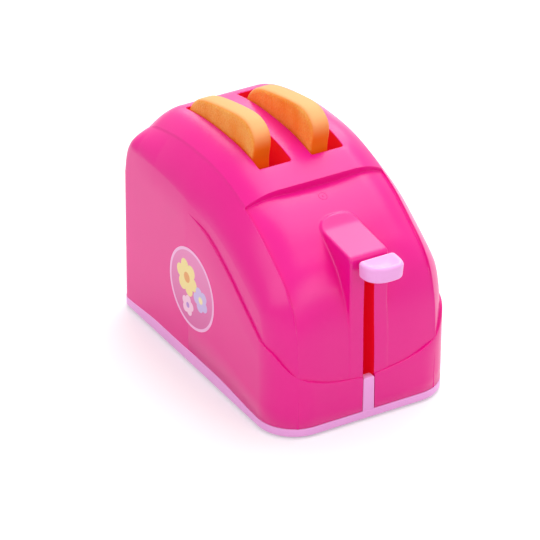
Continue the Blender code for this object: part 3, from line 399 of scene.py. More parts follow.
def fit_slot(grid, columns):
    """Sets the two columns at the lever slot's edges to its width, which grows towards its foot."""
    centre = grid.shape[1] // 2
    edge = int(np.argmin(np.abs(columns - SLOT_HEAD_WIDTH / 2)))
    front = grid[:, centre, 1] < FRONT + HOOD_END
    half = slot_half(grid[:, centre, 2])
    for side in (-1, 1):
        for k in range(1, edge + 1):
            grid[front, centre + side * k, 0] = side * half[front] * k / edge
    return centre - edge, centre + edge


def round_corner(grid, rows, columns_at, side):
    """Moves the corner points of a bread slot's rim onto its corner circles."""
    reach = np.array([BREAD_INNER - BREAD_LIP, BREAD_INNER + BREAD_WIDTH + BREAD_LIP])
    low_x, high_x = sorted(side * reach)
    low_y = FRONT + BREAD_START - BREAD_LIP
    high_y = FRONT + BREAD_START + BREAD_LENGTH + BREAD_LIP
    radius = BREAD_CORNER + BREAD_LIP
    loop = rim_loop(rows, columns_at)
    points = grid[loop[:, 0], loop[:, 1]]
    x = np.clip(points[:, 0], low_x + radius, high_x - radius)
    y = np.clip(points[:, 1], low_y + radius, high_y - radius)
    off = points[:, :2] - np.stack([x, y], 1)
    length = np.linalg.norm(off, axis=1)
    corner = (np.abs(off[:, 0]) > 1e-6) & (np.abs(off[:, 1]) > 1e-6)
    moved = points[:, :2].copy()
    moved[corner] = np.stack([x, y], 1)[corner] + off[corner] / length[corner, None] * radius
    grid[loop[:, 0], loop[:, 1], :2] = moved
    return loop


def rim_loop(rows, columns_at):
    """The grid indices all round a hole, anticlockwise from above."""
    (r0, r1), (c0, c1) = rows, columns_at
    first = [(r0, c) for c in range(c0, c1)]
    second = [(r, c1) for r in range(r0, r1)]
    third = [(r1, c) for c in range(c1, c0, -1)]
    fourth = [(r, c0) for r in range(r1, r0, -1)]
    return np.array(first + second + third + fourth)


def mesh_object(name, points, faces, material, smooth_angle=40):
    """A smooth-shaded mesh at the origin, with one material and its sharp edges marked."""
    mesh = bpy.data.meshes.new(name)
    mesh.from_pydata(points, [], faces)
    mesh.validate()
    mesh.shade_smooth()
    if smooth_angle:
        mesh.set_sharp_from_angle(angle=math.radians(smooth_angle))
    mesh.materials.append(material)
    piece = bpy.data.objects.new(name, mesh)
    bpy.context.scene.collection.objects.link(piece)
    return piece


def set_fields(piece, fields):
    """Stores named values at a piece's points, for its material to read."""
    for name, values in fields.items():
        attribute = piece.data.attributes.new(name, "FLOAT", "POINT")
        attribute.data.foreach_set("value", values.astype(np.float32))


def grid_faces(rows, columns, start=0, wrap=False):
    """The quads of a grid whose points are stored row by row; wrap joins the last column to the first."""
    index = np.arange(rows * columns).reshape(rows, columns) + start
    if wrap:
        index = np.hstack([index, index[:, :1]])
    a, b, c, d = index[:-1, :-1], index[:-1, 1:], index[1:, 1:], index[1:, :-1]
    return np.stack([a, b, c, d], axis=-1)


def swept(rings, wrap=True, cap_first=False, cap_last=False, flip=False):
    """One skin through rings of equal length: points and faces, capped at either end on request."""
    rings = np.asarray(rings, float)
    rows, columns = rings.shape[:2]
    faces = grid_faces(rows, columns, wrap=wrap).reshape(-1, 4)
    if flip:
        faces = faces[:, ::-1]
    faces = faces.tolist()
    last = (rows - 1) * columns
    if cap_first:
        ring = list(range(columns))
        faces.append(ring if flip else ring[::-1])
    if cap_last:
        ring = list(range(last, last + columns))
        faces.append(ring[::-1] if flip else ring)
    return rings.reshape(-1, 3), faces


def gathered(*parts):
    """Several points-and-faces pairs as one."""
    points, faces, count = [], [], 0
    for some, quads in parts:
        points.append(np.asarray(some, float).reshape(-1, 3))
        faces += [[i + count for i in face] for face in quads]
        count += len(points[-1])
    return np.vstack(points), faces


def volume_under(points, faces):
    """The signed volume of a closed skin, to tell which way its faces point."""
    total = 0.0
    points = np.asarray(points)
    for face in faces:
        a = points[face[0]]
        for i in range(1, len(face) - 1):
            total += float(np.dot(a, np.cross(points[face[i]], points[face[i + 1]])))
    return total / 6


def outward(points, faces):
    """The same closed skin with its faces turned to point out."""
    if volume_under(points, faces) < 0:
        faces = [list(face)[::-1] for face in faces]
    return points, faces


def make_housing(material, painted_shade_material):
    """The glossy housing above the skirt: outer skin with hood, riser and slots, and the chutes."""
    columns = panel_columns()
    stops = arch_stops()
    grid = skin_grid(stops, columns)
    grid = lift_hood(grid)
    left_edge, right_edge = fit_slot(grid, columns)
    centre = grid.shape[1] // 2
    keep = np.ones((grid.shape[0] - 1, grid.shape[1] - 1), bool)
    head = int(np.searchsorted(grid[: grid.shape[0] // 3, centre, 2], UNDERSIDE + SLOT_HEAD))
    keep[:head, left_edge:right_edge] = False
    ys = arch_rows(stops)[0][:, 0]
    first = int(np.argmin(np.abs(ys - (BREAD_START - BREAD_LIP))))
    last = int(np.argmin(np.abs(ys - (BREAD_START + BREAD_LENGTH + BREAD_LIP))))
    near = int(np.argmin(np.abs(columns - (BREAD_INNER - BREAD_LIP))))
    far = int(np.argmin(np.abs(columns - (BREAD_INNER + BREAD_WIDTH + BREAD_LIP))))
    loops = []
    for side in (-1, 1):
        c0, c1 = sorted((centre + side * near, centre + side * far))
        keep[first:last, c0:c1] = False
        loops.append(round_corner(grid, (first, last), (c0, c1), side))
    index_faces = grid_faces(*grid.shape[:2])[keep].tolist()
    skin = (grid.reshape(-1, 3), index_faces)
    parts = [skin]
    for side, loop in zip((-1, 1), loops):
        parts.append(chute(grid[loop[:, 0], loop[:, 1]], side))
    parts.append(foot_rim(grid, left_edge, right_edge))
    points, faces = gathered(*parts)
    piece = mesh_object("housing_skin", points, faces, material, None)
    weld(piece)
    piece.data.set_sharp_from_angle(angle=math.radians(50))
    # Painted shade: the chutes' upright walls take the deep red painted shade and glow as their second
    # material.
    piece.data.materials.append(painted_shade_material)
    for face in piece.data.polygons:
        x, y, z = face.center
        in_x = BREAD_INNER - CHUTE_WALL - GAP < abs(x) < BREAD_INNER + BREAD_WIDTH + CHUTE_WALL + GAP
        in_y = -CHUTE_WALL - GAP < y - FRONT - BREAD_START < BREAD_LENGTH + CHUTE_WALL + GAP
        if in_x and in_y and abs(face.normal.z) < 0.2 and z > UNDERSIDE + CHUTE_FOOT - GAP:
            face.material_index = 1
    slot_rows = grid[: head + 1]
    return piece, slot_rows[:, left_edge], slot_rows[:, right_edge]


def weld(piece):
    """Merges the points that the pieces of one skin share."""
    bm = bmesh.new()
    bm.from_mesh(piece.data)
    bmesh.ops.remove_doubles(bm, verts=bm.verts, dist=0.00001)
    bm.to_mesh(piece.data)
    bm.free()


def chute(rim, side):
    """The lip of a bread slot and the chute below it: a quarter circle over the edge, the inner
    wall down, a flat foot, and the outer wall back up to the underside of the roof."""
    middle = np.array([side * (BREAD_INNER + BREAD_WIDTH / 2), FRONT + BREAD_START + BREAD_LENGTH / 2])
    reach = np.array([BREAD_WIDTH / 2, BREAD_LENGTH / 2]) - BREAD_CORNER
    core = middle + np.clip(rim[:, :2] - middle, -reach, reach)
    away = rim[:, :2] - core
    away /= np.linalg.norm(away, axis=1, keepdims=True)
    rings = []

    def ring(offset, height):
        flat = core + away * (BREAD_CORNER + offset)
        return np.column_stack([flat, height])

    for angle in np.linspace(0, math.pi / 2, 5):
        offset = BREAD_LIP * (1 - math.sin(angle))
        rings.append(ring(offset, rim[:, 2] - BREAD_LIP * (1 - math.cos(angle))))
    foot = np.full(len(rim), UNDERSIDE + CHUTE_FOOT)
    rings.append(ring(0.0, foot + GAP))
    rings.append(ring(GAP, foot))
    rings.append(ring(CHUTE_WALL, foot))
    rings.append(ring(CHUTE_WALL, rim[:, 2] - WALL / 2))
    rings[0] = rim
    return swept(rings, wrap=True, flip=True)


def foot_rim(grid, left_edge, right_edge):
    """The flat bottom edge of the housing, turned in by the wall, and its inner side going up."""
    border = border_of(grid, left_edge, right_edge)
    centre = np.array([0.0, FRONT + BODY_LENGTH / 2, 0.0])
    size = np.array([HALF, BODY_LENGTH / 2, 1.0])
    inside = centre + (border - centre) * (size - (WALL, WALL, 0)) / size
    raised = inside + (0, 0, FOOT_TURN_UP)
    return swept([border, inside, raised], wrap=False, flip=False)


def border_of(grid, left_edge, right_edge):
    """The points along the foot of the skin, from the right of the lever slot all the way round."""
    front_right = grid[0, right_edge:]
    right = grid[1:, -1]
    back = grid[-1, -2::-1]
    left = grid[-2::-1, 0]
    front_left = grid[0, 1 : left_edge + 1]
    return np.vstack([front_right, right, back, left, front_left])


def plan_outline(inset):
    """The right half of the housing's outline from above, from the middle of the front to the
    middle of the back: straight runs and quarter circles."""
    front, back = FRONT_CORNER - inset, max(BACK_CORNER - inset, GAP)
    half, near, far = HALF - inset, inset, BODY_LENGTH - inset
    turn = np.linspace(0, math.pi / 2, 27)
    run = np.linspace(0, half - front, 24, endpoint=False)
    side = np.linspace(near + front, far - back, 110)[1:-1]
    rear = np.linspace(half - back, 0, 24)[1:]
    near_x, far_x = half - front + front * np.sin(turn), half - back + back * np.cos(turn)
    x = [run, near_x, np.full_like(side, half), far_x, rear]
    y = [
        np.full_like(run, near),
        near + front - front * np.cos(turn),
        side,
        far - back + back * np.sin(turn),
        np.full_like(rear, far),
    ]
    return np.stack([np.concatenate(x), np.concatenate(y)], 1)


def whole_way(half_way):
    """A right half carried round the left side too."""
    return np.vstack([half_way, half_way[-2:0:-1] * (-1, 1)])


def skirt_top(outline):
    """The height of the skirt's top edge at each point of the right half's outline."""
    along = lengths_along(outline)
    edge = smooth_curve(SKIRT_SHARES)
    heights = np.interp(along / along[-1], edge[:, 0], edge[:, 1])
    return softened(heights[:, None], 2)[:, 0] * ARCH_HEIGHT + UNDERSIDE


def make_skirt(material):
    """The lower housing that stands proud: its section carried round the outline, from one side of
    the lever slot to the other, with a rounded top edge."""
    outline = plan_outline(0.0)
    top = skirt_top(outline)
    sections = []
    for angle in np.linspace(0, math.pi / 2, 5):
        sections.append((SKIRT_EDGE * (1 - math.cos(angle)), top - SKIRT_EDGE * (1 - math.sin(angle))))
    foot = SHELL_FOOT - GAP / 2 + rim_rise(outline)
    levels = [(SKIRT_SINK, foot), (0.0, foot + SKIRT_SINK)]
    levels += [(0.0, foot + (top - SKIRT_EDGE - foot) * share) for share in (0.25, 0.5, 0.75)]
    levels += sections
    levels.append((SKIRT_WALL, top + GAP))
    levels.append((SKIRT_WALL, foot))
    rings = []
    sunk = SKIN * 2 * smooth_step(outline[:, 1:], *STEP_FADE)
    for inset, height in levels:
        flat = plan_outline(SKIN + inset)
        flat = flat - (flat - (0, BODY_LENGTH / 2)) * sunk / (HALF, BODY_LENGTH / 2)
        line = np.column_stack([flat[:, 0], FRONT + flat[:, 1], height])
        rings.append(np.vstack([line, line[-2:0:-1] * (-1, 1, 1)]))
    rings = np.array(rings)
    gap = slot_half(rings[:, 0, 2])[:, None]
    start = rings[:, :1].copy()
    end = rings[:, :1].copy()
    start[:, 0, 0], end[:, 0, 0] = gap[:, 0], -gap[:, 0]
    inner = rings[:, 1:]
    near = inner[:, :, 0]
    front_row = (inner[:, :, 1] < FRONT + FRONT_CORNER / 2) & (np.abs(near) < SLOT_FOOT_WIDTH / 2 + GAP)
    keep = ~front_row.any(axis=0)
    rings = np.concatenate([start, inner[:, keep], end], axis=1)
    section = rings.transpose(1, 0, 2)
    points, faces = swept(section, wrap=True, cap_first=True, cap_last=True)
    points, faces = outward(points, faces)
    skirt = mesh_object("housing_skirt", points, faces, material, 50)
    weld(skirt)
    return skirt


def make_channel(left, right, material):
    """The walls that the lever's arm runs between, from the slot's edges straight back."""
    parts = []
    for line, flip in ((left, True), (right, False)):
        deep = line.copy()
        deep[:, 1] = np.maximum(line[:, 1], FRONT) + CHANNEL_DEPTH
        middle = (line + deep) / 2
        parts.append(swept([line, middle, deep], wrap=False, flip=flip))
    head = np.stack([left[-1], right[-1]])
    deep = head.copy()
    deep[:, 1] = head[:, 1] + CHANNEL_DEPTH
    parts.append(swept([head, deep], wrap=False))
    points, faces = gathered(*parts)
    return mesh_object("lever_channel", points, faces, material, 30)


def make_lining(material):
    """The inside of the housing: a plain skin a wall's thickness in, with room for the slots."""
    stops = np.linspace(0.0, 1.0, 120)
    columns = np.linspace(0, PANEL_HALF, 16)
    grid = skin_grid(stops, columns, detailed=False)
    normals = np.cross(np.gradient(grid, axis=0), np.gradient(grid, axis=1))
    normals /= np.maximum(np.linalg.norm(normals, axis=2, keepdims=True), 1e-9)
    inner = grid + normals * LINING_DEPTH
    inner[[0, -1], :, 2] = SHELL_FOOT + WALL
    centres = (inner[:-1, :-1] + inner[1:, 1:]) / 2
    x, y = np.abs(centres[..., 0]), centres[..., 1] - FRONT
    in_slot = (x > BREAD_INNER - CHUTE_WALL) & (x < BREAD_INNER + BREAD_WIDTH + CHUTE_WALL)
    in_slot &= (y > BREAD_START - CHUTE_WALL) & (y < BREAD_START + BREAD_LENGTH + CHUTE_WALL)
    in_slot &= centres[..., 2] > UNDERSIDE + CHUTE_FOOT
    at_lever = (x < SLOT_FOOT_WIDTH) & (y < CHANNEL_DEPTH * 2) & (centres[..., 2] < UNDERSIDE + SLOT_HEAD)
    faces = grid_faces(*inner.shape[:2])[~(in_slot | at_lever)][:, ::-1].tolist()
    return mesh_object("housing_lining", inner.reshape(-1, 3), faces, material, 60)


RIM_EDGE = 0.0005
RIM_BOW = 0.0029
RIM_BOW_SHARES = (0.40, 0.75)
RIM_BOW_FALL = 0.8
FLOOR = 0.0022
TAB_HEIGHT = 0.0262
TAB_DEPTH = 0.0042
TAB_CORNER = 0.0012
TAB_EASE_SHARE = GAP / HALF * 10
FOOT_RADIUS = 0.0080
FOOT_INSET = 0.0185
SCREW_SIDE = 0.0115
SCREW_FRONT = 0.0420
SCREW_BACK = 0.0200
RECESS_RADIUS = 0.0033
SCREW_SEAT_HEIGHT = 0.0043


def rim_rise(flat):
    """How much higher the base's rim stands along the sides, at points of its plan."""
    place = flat[:, 1]
    full, falling = BODY_LENGTH * np.array(RIM_BOW_SHARES)
    bow = smooth_step(place, FRONT_CORNER, full)
    bow = bow * (1 - smooth_step(place, falling, BODY_LENGTH - BACK_CORNER / 2) * RIM_BOW_FALL)
    side = smooth_step(np.abs(flat[:, 0]), HALF - FRONT_CORNER / 2, HALF - WALL)
    return RIM_BOW * bow * side


def plate_level(inset, height, rise=0.0):
    """One level of the base's plate, which follows the rim's rise by a share."""
    flat = whole_way(plan_outline(inset))
    heights = height + rim_rise(whole_way(plan_outline(0.0))) * rise
    return np.column_stack([flat[:, 0], FRONT + flat[:, 1], heights])


def four_places(side_inset, front_inset, back_inset):
    """A place near each corner of the base, as far in from its sides, front and back as given."""
    x = HALF - side_inset
    ends = (FRONT + front_inset, FRONT + BODY_LENGTH - back_inset)
    return [(side * x, y) for y in ends for side in (-1, 1)]


def rings_about(profile, place, sides):
    """Rings of points about the upright through place, one for each radius and height."""
    turn = np.linspace(0, 2 * math.pi, sides, endpoint=False)
    x, y = np.cos(turn), np.sin(turn)
    return [np.column_stack([place[0] + r * x, place[1] + r * y, np.full(sides, z)]) for r, z in profile]


def turned(profile, place, sides=48):
    """A closed piece turned from a profile of radius and height."""
    return outward(*swept(rings_about(profile, place, sides), cap_first=True, cap_last=True))


def cut_with(piece, tools):
    """Takes the tools out of a piece, and leaves the piece with one clean mesh at the origin."""
    for tool in tools:
        modifier = piece.modifiers.new("cut", "BOOLEAN")
        modifier.operation = "DIFFERENCE"
        modifier.object = tool
        modifier.solver = "EXACT"
    graph = bpy.context.evaluated_depsgraph_get()
    mesh = bpy.data.meshes.new_from_object(piece.evaluated_get(graph))
    piece.modifiers.clear()
    piece.data = mesh
    for tool in tools:
        bpy.data.objects.remove(tool, do_unlink=True)
    mesh.shade_smooth()
    mesh.set_sharp_from_angle(angle=math.radians(35))
    return piece


def make_base(material):
    """The pale base: a rim with rounded edges, four feet, the screw recesses and the slot's tab."""
    top = UNDERSIDE + RIM_HEIGHT
    levels = []
    for angle in np.linspace(0, math.pi / 2, 5):
        inset, rise = RIM_EDGE * (1 - math.sin(angle)), RIM_EDGE * (1 - math.cos(angle))
        levels.append(plate_level(inset, UNDERSIDE + rise))
    for angle in np.linspace(math.pi / 2, 0, 4):
        levels.append(plate_level(GAP * (1 - math.sin(angle)), top - GAP * (1 - math.cos(angle)), 1.0))
    levels.append(plate_level(SKIRT_WALL, top, 1.0))
    levels.append(plate_level(SKIRT_WALL + GAP, UNDERSIDE + FLOOR))
    plate = outward(*swept(levels, cap_first=True, cap_last=True))
    base = mesh_object("base_moulding", *plate, material)
    tools = []
    for i, (x, y) in enumerate(four_places(SCREW_SIDE, SCREW_FRONT, SCREW_BACK)):
        profile = [(RECESS_RADIUS, UNDERSIDE - GAP), (RECESS_RADIUS, UNDERSIDE + FLOOR + GAP)]
        tools.append(mesh_object(f"recess {i}", *turned(profile, (x, y)), material))
    cut_with(base, tools)
    parts = [(np.array([v.co for v in base.data.vertices]), [list(p.vertices) for p in base.data.polygons])]
    for x, y in four_places(FOOT_INSET, FOOT_INSET, FOOT_INSET):
        edge = GAP
        profile = [(FOOT_RADIUS - edge, 0.0), (FOOT_RADIUS, edge), (FOOT_RADIUS, UNDERSIDE + GAP)]
        parts.append(turned(profile, (x, y)))
    for x, y in four_places(SCREW_SIDE, SCREW_FRONT, SCREW_BACK):
        parts.append(boss((x, y)))
    parts.append(slot_tab())
    points, faces = gathered(*parts)
    bpy.data.objects.remove(base, do_unlink=True)
    return mesh_object("base_moulding", points, faces, material, 35)


def boss(place, sides=40):
    """The collar round a screw's recess: up the inside, over the top and down the outside."""
    inner, outer = RECESS_RADIUS, RECESS_RADIUS + GAP * 4
    bore = RECESS_RADIUS / 2
    low, seat = UNDERSIDE + FLOOR, UNDERSIDE + SCREW_SEAT_HEIGHT
    high = seat + FLOOR
    profile = [(inner, low), (inner, seat), (bore, seat), (bore, high), (outer, high), (outer, low)]
    return outward(*swept(rings_about([*profile, profile[0]], place, sides)))


def slot_tab():
    """The tab that fills the slot's foot: a slim wedge with rounded top corners."""
    low, high = UNDERSIDE + RIM_HEIGHT - GAP, UNDERSIDE + TAB_HEIGHT
    foot = slot_half(np.array(low)) - GAP
    head = slot_half(np.array(high)) - GAP
    turn = np.linspace(0, math.pi / 2, 6)
    x = np.concatenate([[foot], head - TAB_CORNER + TAB_CORNER * np.cos(turn)])
    z = np.concatenate([[low], high - TAB_CORNER + TAB_CORNER * np.sin(turn)])
    outline = np.column_stack([np.concatenate([x, -x[::-1]]), np.concatenate([z, z[::-1]])])
    centre = outline.mean(axis=0)
    rings = []
    for ease, depth in ((TAB_EASE_SHARE, 0.0), (0.0, GAP), (0.0, TAB_DEPTH)):
        scaled = centre + (outline - centre) * (1 - ease)
        rings.append(np.column_stack([scaled[:, 0], np.full(len(scaled), FRONT + depth), scaled[:, 1]]))
    return outward(*swept(rings, cap_first=True, cap_last=True))


KNOB_WIDTH = 0.0232
KNOB_SHIFT = 0.0021
KNOB_REACH = 0.0159
KNOB_BACK_GAP = 0.0010
KNOB_FOOT = 0.0931
KNOB_HEIGHT = 0.0100
KNOB_EDGE = 0.0020
KNOB_DISH = 0.0028
KNOB_TAPER = 0.0010
KNOB_SKEW = 0.0024
KNOB_SQUARENESS = 0.72
KNOB_CORNER_SHARE = 0.6
DISH_POWER = 1.3
DISH_SHARES = (0.94, 0.86, 0.76, 0.64, 0.50, 0.34, 0.16, 0.04)


def make_knob(material):
    """The thumb pad: a D from above whose rim is a quarter circle, with a dished top that leaves a
    ridge along the front."""
    turn = np.linspace(0, math.pi, 97)
    half, back = KNOB_WIDTH / 2, FRONT - KNOB_BACK_GAP
    depth = KNOB_REACH - KNOB_BACK_GAP
    angles = np.linspace(0, math.pi / 2, 9)
    low = [(KNOB_EDGE * (1 - math.sin(a)), KNOB_EDGE * (1 - math.cos(a))) for a in angles[::-1]]
    high = [(KNOB_HEIGHT - z, inset) for z, inset in low[::-1]]
    rings = []

    def ring(z, inset, lower=0.0):
        lean = KNOB_TAPER * (1 - z / KNOB_HEIGHT)
        r = half - inset - lean / 2
        x = r * np.sign(np.cos(turn)) * np.abs(np.cos(turn)) ** KNOB_SQUARENESS
        x = x + KNOB_SKEW * np.sin(turn) ** 2
        x = np.minimum(x, r)
        y = back - KNOB_EDGE - (depth - KNOB_EDGE - inset - lean) * np.sin(turn) ** KNOB_SQUARENESS
        corner = np.linspace(0, 1, 6)[1:]
        end_x = r - KNOB_EDGE * KNOB_CORNER_SHARE * (1 - np.cos(corner * math.pi / 2))
        end_y = back - KNOB_EDGE + (KNOB_EDGE - inset / 2) * np.sin(corner * math.pi / 2)
        x = np.concatenate([x, -end_x, end_x[::-1]])
        y = np.concatenate([y, end_y, end_y[::-1]])
        z = np.full_like(x, UNDERSIDE + KNOB_FOOT + z) - lower
        return np.column_stack([x + KNOB_SHIFT, y, z])

    for z, inset in low + high:
        rings.append(ring(z, inset))
    rim = rings[-1]
    middle = np.array([KNOB_SHIFT, back - depth / 2, rim[0, 2]])
    for share in DISH_SHARES:
        drop = KNOB_DISH * (1 - share**2) ** DISH_POWER
        rings.append(middle + (rim - middle) * share - np.array([0, 0, drop]))
    points, faces = outward(*swept(rings, cap_first=True, cap_last=True))
    return mesh_object("thumb_pad", points, faces, material, 60)


SLICE_THICKNESS = 0.0121
SLICE_HALF_LENGTH = 0.0371
SLICE_HEIGHT = 0.0720
SLICE_CRUST = 0.0030
SLICE_SIDE_GAP = 0.0008
SLICE_STARTS = (0.0823, 0.0753)
SLICE_SLOPE = 0.21
FACE_SWELL = 0.98
FACE_SHARES = (0.02, 0.25, 0.5, 0.72, 0.88)
CRUST_SHARES = (0.55, 0.90)
# Heights, as shares of the slice, over which its crust is painted paler towards the top: painted light from
# above.
PAINTED_TOP_LIGHT_SHARES = (0.72, 0.93)
TRAY_MIDDLE = 0.0750
# Half of a slice's outline, from the middle of the top round to the middle of the bottom
SLICE_SHARES = (
    (0.00, 1.000),
    (0.26, 0.998),
    (0.52, 0.990),
    (0.73, 0.966),
    (0.88, 0.920),
    (0.97, 0.865),
    (1.00, 0.805),
    (0.99, 0.745),
    (0.965, 0.690),
    (0.952, 0.620),
    (0.950, 0.450),
    (0.948, 0.250),
    (0.945, 0.110),
    (0.92, 0.040),
    (0.85, 0.006),
    (0.70, 0.000),
    (0.35, 0.000),
    (0.00, 0.000),
)


def make_slice(side, word, start, material):
    """A slice of toast: its outline shrunk towards the faces by a quarter circle, then filled in to
    the middle of each face with a slight swell."""
    half = smooth_curve(SLICE_SHARES, 8) * (SLICE_HALF_LENGTH, SLICE_HEIGHT)
    outline = np.vstack([half, half[-2:0:-1] * (-1, 1)])
    centre = np.array([0.0, SLICE_HEIGHT / 2])
    reach = np.array([SLICE_HALF_LENGTH, SLICE_HEIGHT / 2])
    flat = SLICE_THICKNESS / 2 - SLICE_CRUST

    def ring(share, inset, x):
        line = centre + (outline - centre) * (reach - inset) / reach * share
        return np.column_stack([np.full(len(line), x), line])

    face = flat + SLICE_CRUST * FACE_SWELL
    rings = [ring(share, SLICE_CRUST, -face) for share in FACE_SHARES]
    for angle in np.linspace(-math.pi / 2, math.pi / 2, 17):
        inset = SLICE_CRUST * (1 - math.cos(angle))
        x = flat * np.clip(angle * 8, -1, 1) + SLICE_CRUST * math.sin(angle)
        rings.append(ring(1.0, inset, x))
    rings += [ring(share, SLICE_CRUST, face) for share in FACE_SHARES[::-1]]
    points, faces = outward(*swept(rings, cap_first=True, cap_last=True))
    points = np.array(points)
    # Painted light: the crust is painted paler towards the top, as if lit from above.
    pale = smooth_step(points[:, 2] / SLICE_HEIGHT, *PAINTED_TOP_LIGHT_SHARES)
    middle = FRONT + start + SLICE_HALF_LENGTH
    left = side * (BREAD_INNER + BREAD_WIDTH / 2) - BREAD_WIDTH / 2 + SLICE_SIDE_GAP
    points += (left + SLICE_THICKNESS / 2, middle, UNDERSIDE + TRAY_MIDDLE + GAP)
    points[:, 2] -= SLICE_SLOPE * (points[:, 1] - FRONT - BREAD_START - BREAD_LENGTH / 2)
    piece = mesh_object(f"slice_{word}", points, faces, material, 60)
    off = np.abs(points[:, 0] - left - SLICE_THICKNESS / 2)
    crust = 1 - smooth_step(off, *[flat + SLICE_CRUST * share for share in CRUST_SHARES])
    set_fields(piece, {"crust": crust, "pale": pale * crust})
    return piece


STICKER_RADIUS = 0.0249
STICKER_BACK = 0.0965
STICKER_HEIGHT = 0.0498
STICKER_THICKNESS = 0.0003
PETAL_DEPTH = 0.28
PETAL_ROUNDNESS = 0.7
PRINT_EDGE = 0.02
BORDER_EDGE = (0.925, 0.935)
# Flowers in shares of the sticker's radius: name, centre, radius, petals, turn, eye, two colours
FLOWERS = (
    ("large", (-0.22, 0.20), 0.46, 6, 0.2, 0.14, "#f4dc8e", "#e79a4e"),
    ("second", (0.40, -0.10), 0.32, 5, 0.5, 0.10, "#cbb4e4", "#f6e3a8"),
    ("third", (-0.18, -0.50), 0.26, 5, 1.1, 0.08, "#f7c6de", "#b77fd0"),
)


def flower(u, v, centre, radius, petals, turn):
    """How far inside a flower with round petals a point lies, as a share of its radius."""
    du, dv = u - centre[0], v - centre[1]
    angle = np.arctan2(dv, du) + turn
    petal = np.abs(np.cos(petals * angle / 2)) ** PETAL_ROUNDNESS
    edge = radius * (1 - PETAL_DEPTH + PETAL_DEPTH * petal)
    return (edge - np.hypot(du, dv)) / radius


def make_sticker(material):
    """The round sticker: a disc of fine rings whose attributes say how far each point lies inside
    the border, the flowers and their eyes."""
    rings, sides = 90, 220
    radius = np.concatenate([np.linspace(0, 1, rings), [1.0]])
    turn = np.linspace(0, 2 * math.pi, sides, endpoint=False)
    u = radius[:, None] * np.cos(turn)
    v = radius[:, None] * np.sin(turn)
    depth = np.zeros_like(u)
    depth[-1] = STICKER_THICKNESS
    y = FRONT + STICKER_BACK - u * STICKER_RADIUS
    z = UNDERSIDE + STICKER_HEIGHT + v * STICKER_RADIUS
    grid = np.stack([-HALF + depth, y, z], axis=2)
    points, faces = swept(grid[1:], wrap=True, cap_first=True, cap_last=True)
    piece = mesh_object("side_badge", points, faces, material, 30)
    u, v = u[1:].ravel(), v[1:].ravel()
    fields = {"rim": np.hypot(u, v)}
    for name, centre, size, petals, start, eye, *_ in FLOWERS:
        fields[name] = flower(u, v, centre, size, petals, start)
        fields[f"{name}_eye"] = eye - np.hypot(u - centre[0], v - centre[1])
    set_fields(piece, fields)
    return piece


SPRING_RADIUS = 0.0047
SPRING_WIRE = 0.0008
SPRING_TURNS = 11
SPRING_FOOT = 0.0044
SPRING_HEAD = 0.0793
ROD_SPREAD = 0.0140
ROD_PLACE = 0.0500


def make_spring(side, word, material):
    """A lift spring: a round wire carried along a helix, whose frame is the radius and the rise."""
    turns = np.linspace(0, SPRING_TURNS, SPRING_TURNS * 36 + 1)
    angle = turns * 2 * math.pi
    heights = SPRING_FOOT + (SPRING_HEAD - SPRING_FOOT) * turns / SPRING_TURNS
    out = np.stack([np.cos(angle), np.sin(angle), np.zeros_like(angle)], 1)
    line = out * SPRING_RADIUS + np.stack([0 * angle, 0 * angle, heights], 1)
    line += (side * ROD_SPREAD, FRONT + ROD_PLACE, 0)
    along = np.gradient(line, axis=0)
    along /= np.linalg.norm(along, axis=1, keepdims=True)
    up = np.cross(along, out)
    around = np.linspace(0, 2 * math.pi, 10, endpoint=False)
    wire = SPRING_WIRE / 2
    c, s = np.cos(around)[None, :, None], np.sin(around)[None, :, None]
    rings = line[:, None] + wire * (c * out[:, None] + s * up[:, None])
    points, faces = outward(*swept(rings, cap_first=True, cap_last=True))
    return mesh_object(f"spring_{word}", points, faces, material, 60)


def new_material(name):
    """A material, its node tree, its shader and the Object coordinate."""
    material = bpy.data.materials.new(name)
    material.use_nodes = True
    tree = material.node_tree
    place = add_node(tree, "ShaderNodeTexCoord").outputs["Object"]
    return material, tree, tree.nodes["Principled BSDF"], place


def blended(tree, share, first, second):
    """Two colours, each a value or a socket, mixed by a share."""
    inputs = {"Factor": share, "A": first, "B": second}
    return add_node(tree, "ShaderNodeMix", inputs, data_type="RGBA").outputs["Result"]


def ranged(tree, value, low, high, start=0.0, end=1.0):
    """A value between start and end laid over low to high."""
    inputs = {"Value": value, "From Min": start, "From Max": end, "To Min": low, "To Max": high}
    return add_node(tree, "ShaderNodeMapRange", inputs).outputs["Result"]


def plastic_material(name, colour, roughness, tone=0.06, ior=1.44):
    """Moulded plastic: an even colour that drifts a little over centimetres where the melt cooled
    unevenly, and a polish that drifts with it."""
    material, tree, shader, place = new_material(name)
    drift = add_node(tree, "ShaderNodeTexNoise", {"Vector": place, "Scale": 1 / (25 * MM), "Detail": 2.0})
    dark = (*[c * (1 - tone) for c in linear(colour)[:3]], 1.0)
    tree.links.new(blended(tree, drift.outputs["Fac"], linear(colour), dark), shader.inputs["Base Color"])
    polish = ranged(tree, drift.outputs["Fac"], roughness * 0.97, roughness * 1.04)
    tree.links.new(polish, shader.inputs["Roughness"])
    shader.inputs["IOR"].default_value = ior
    return material


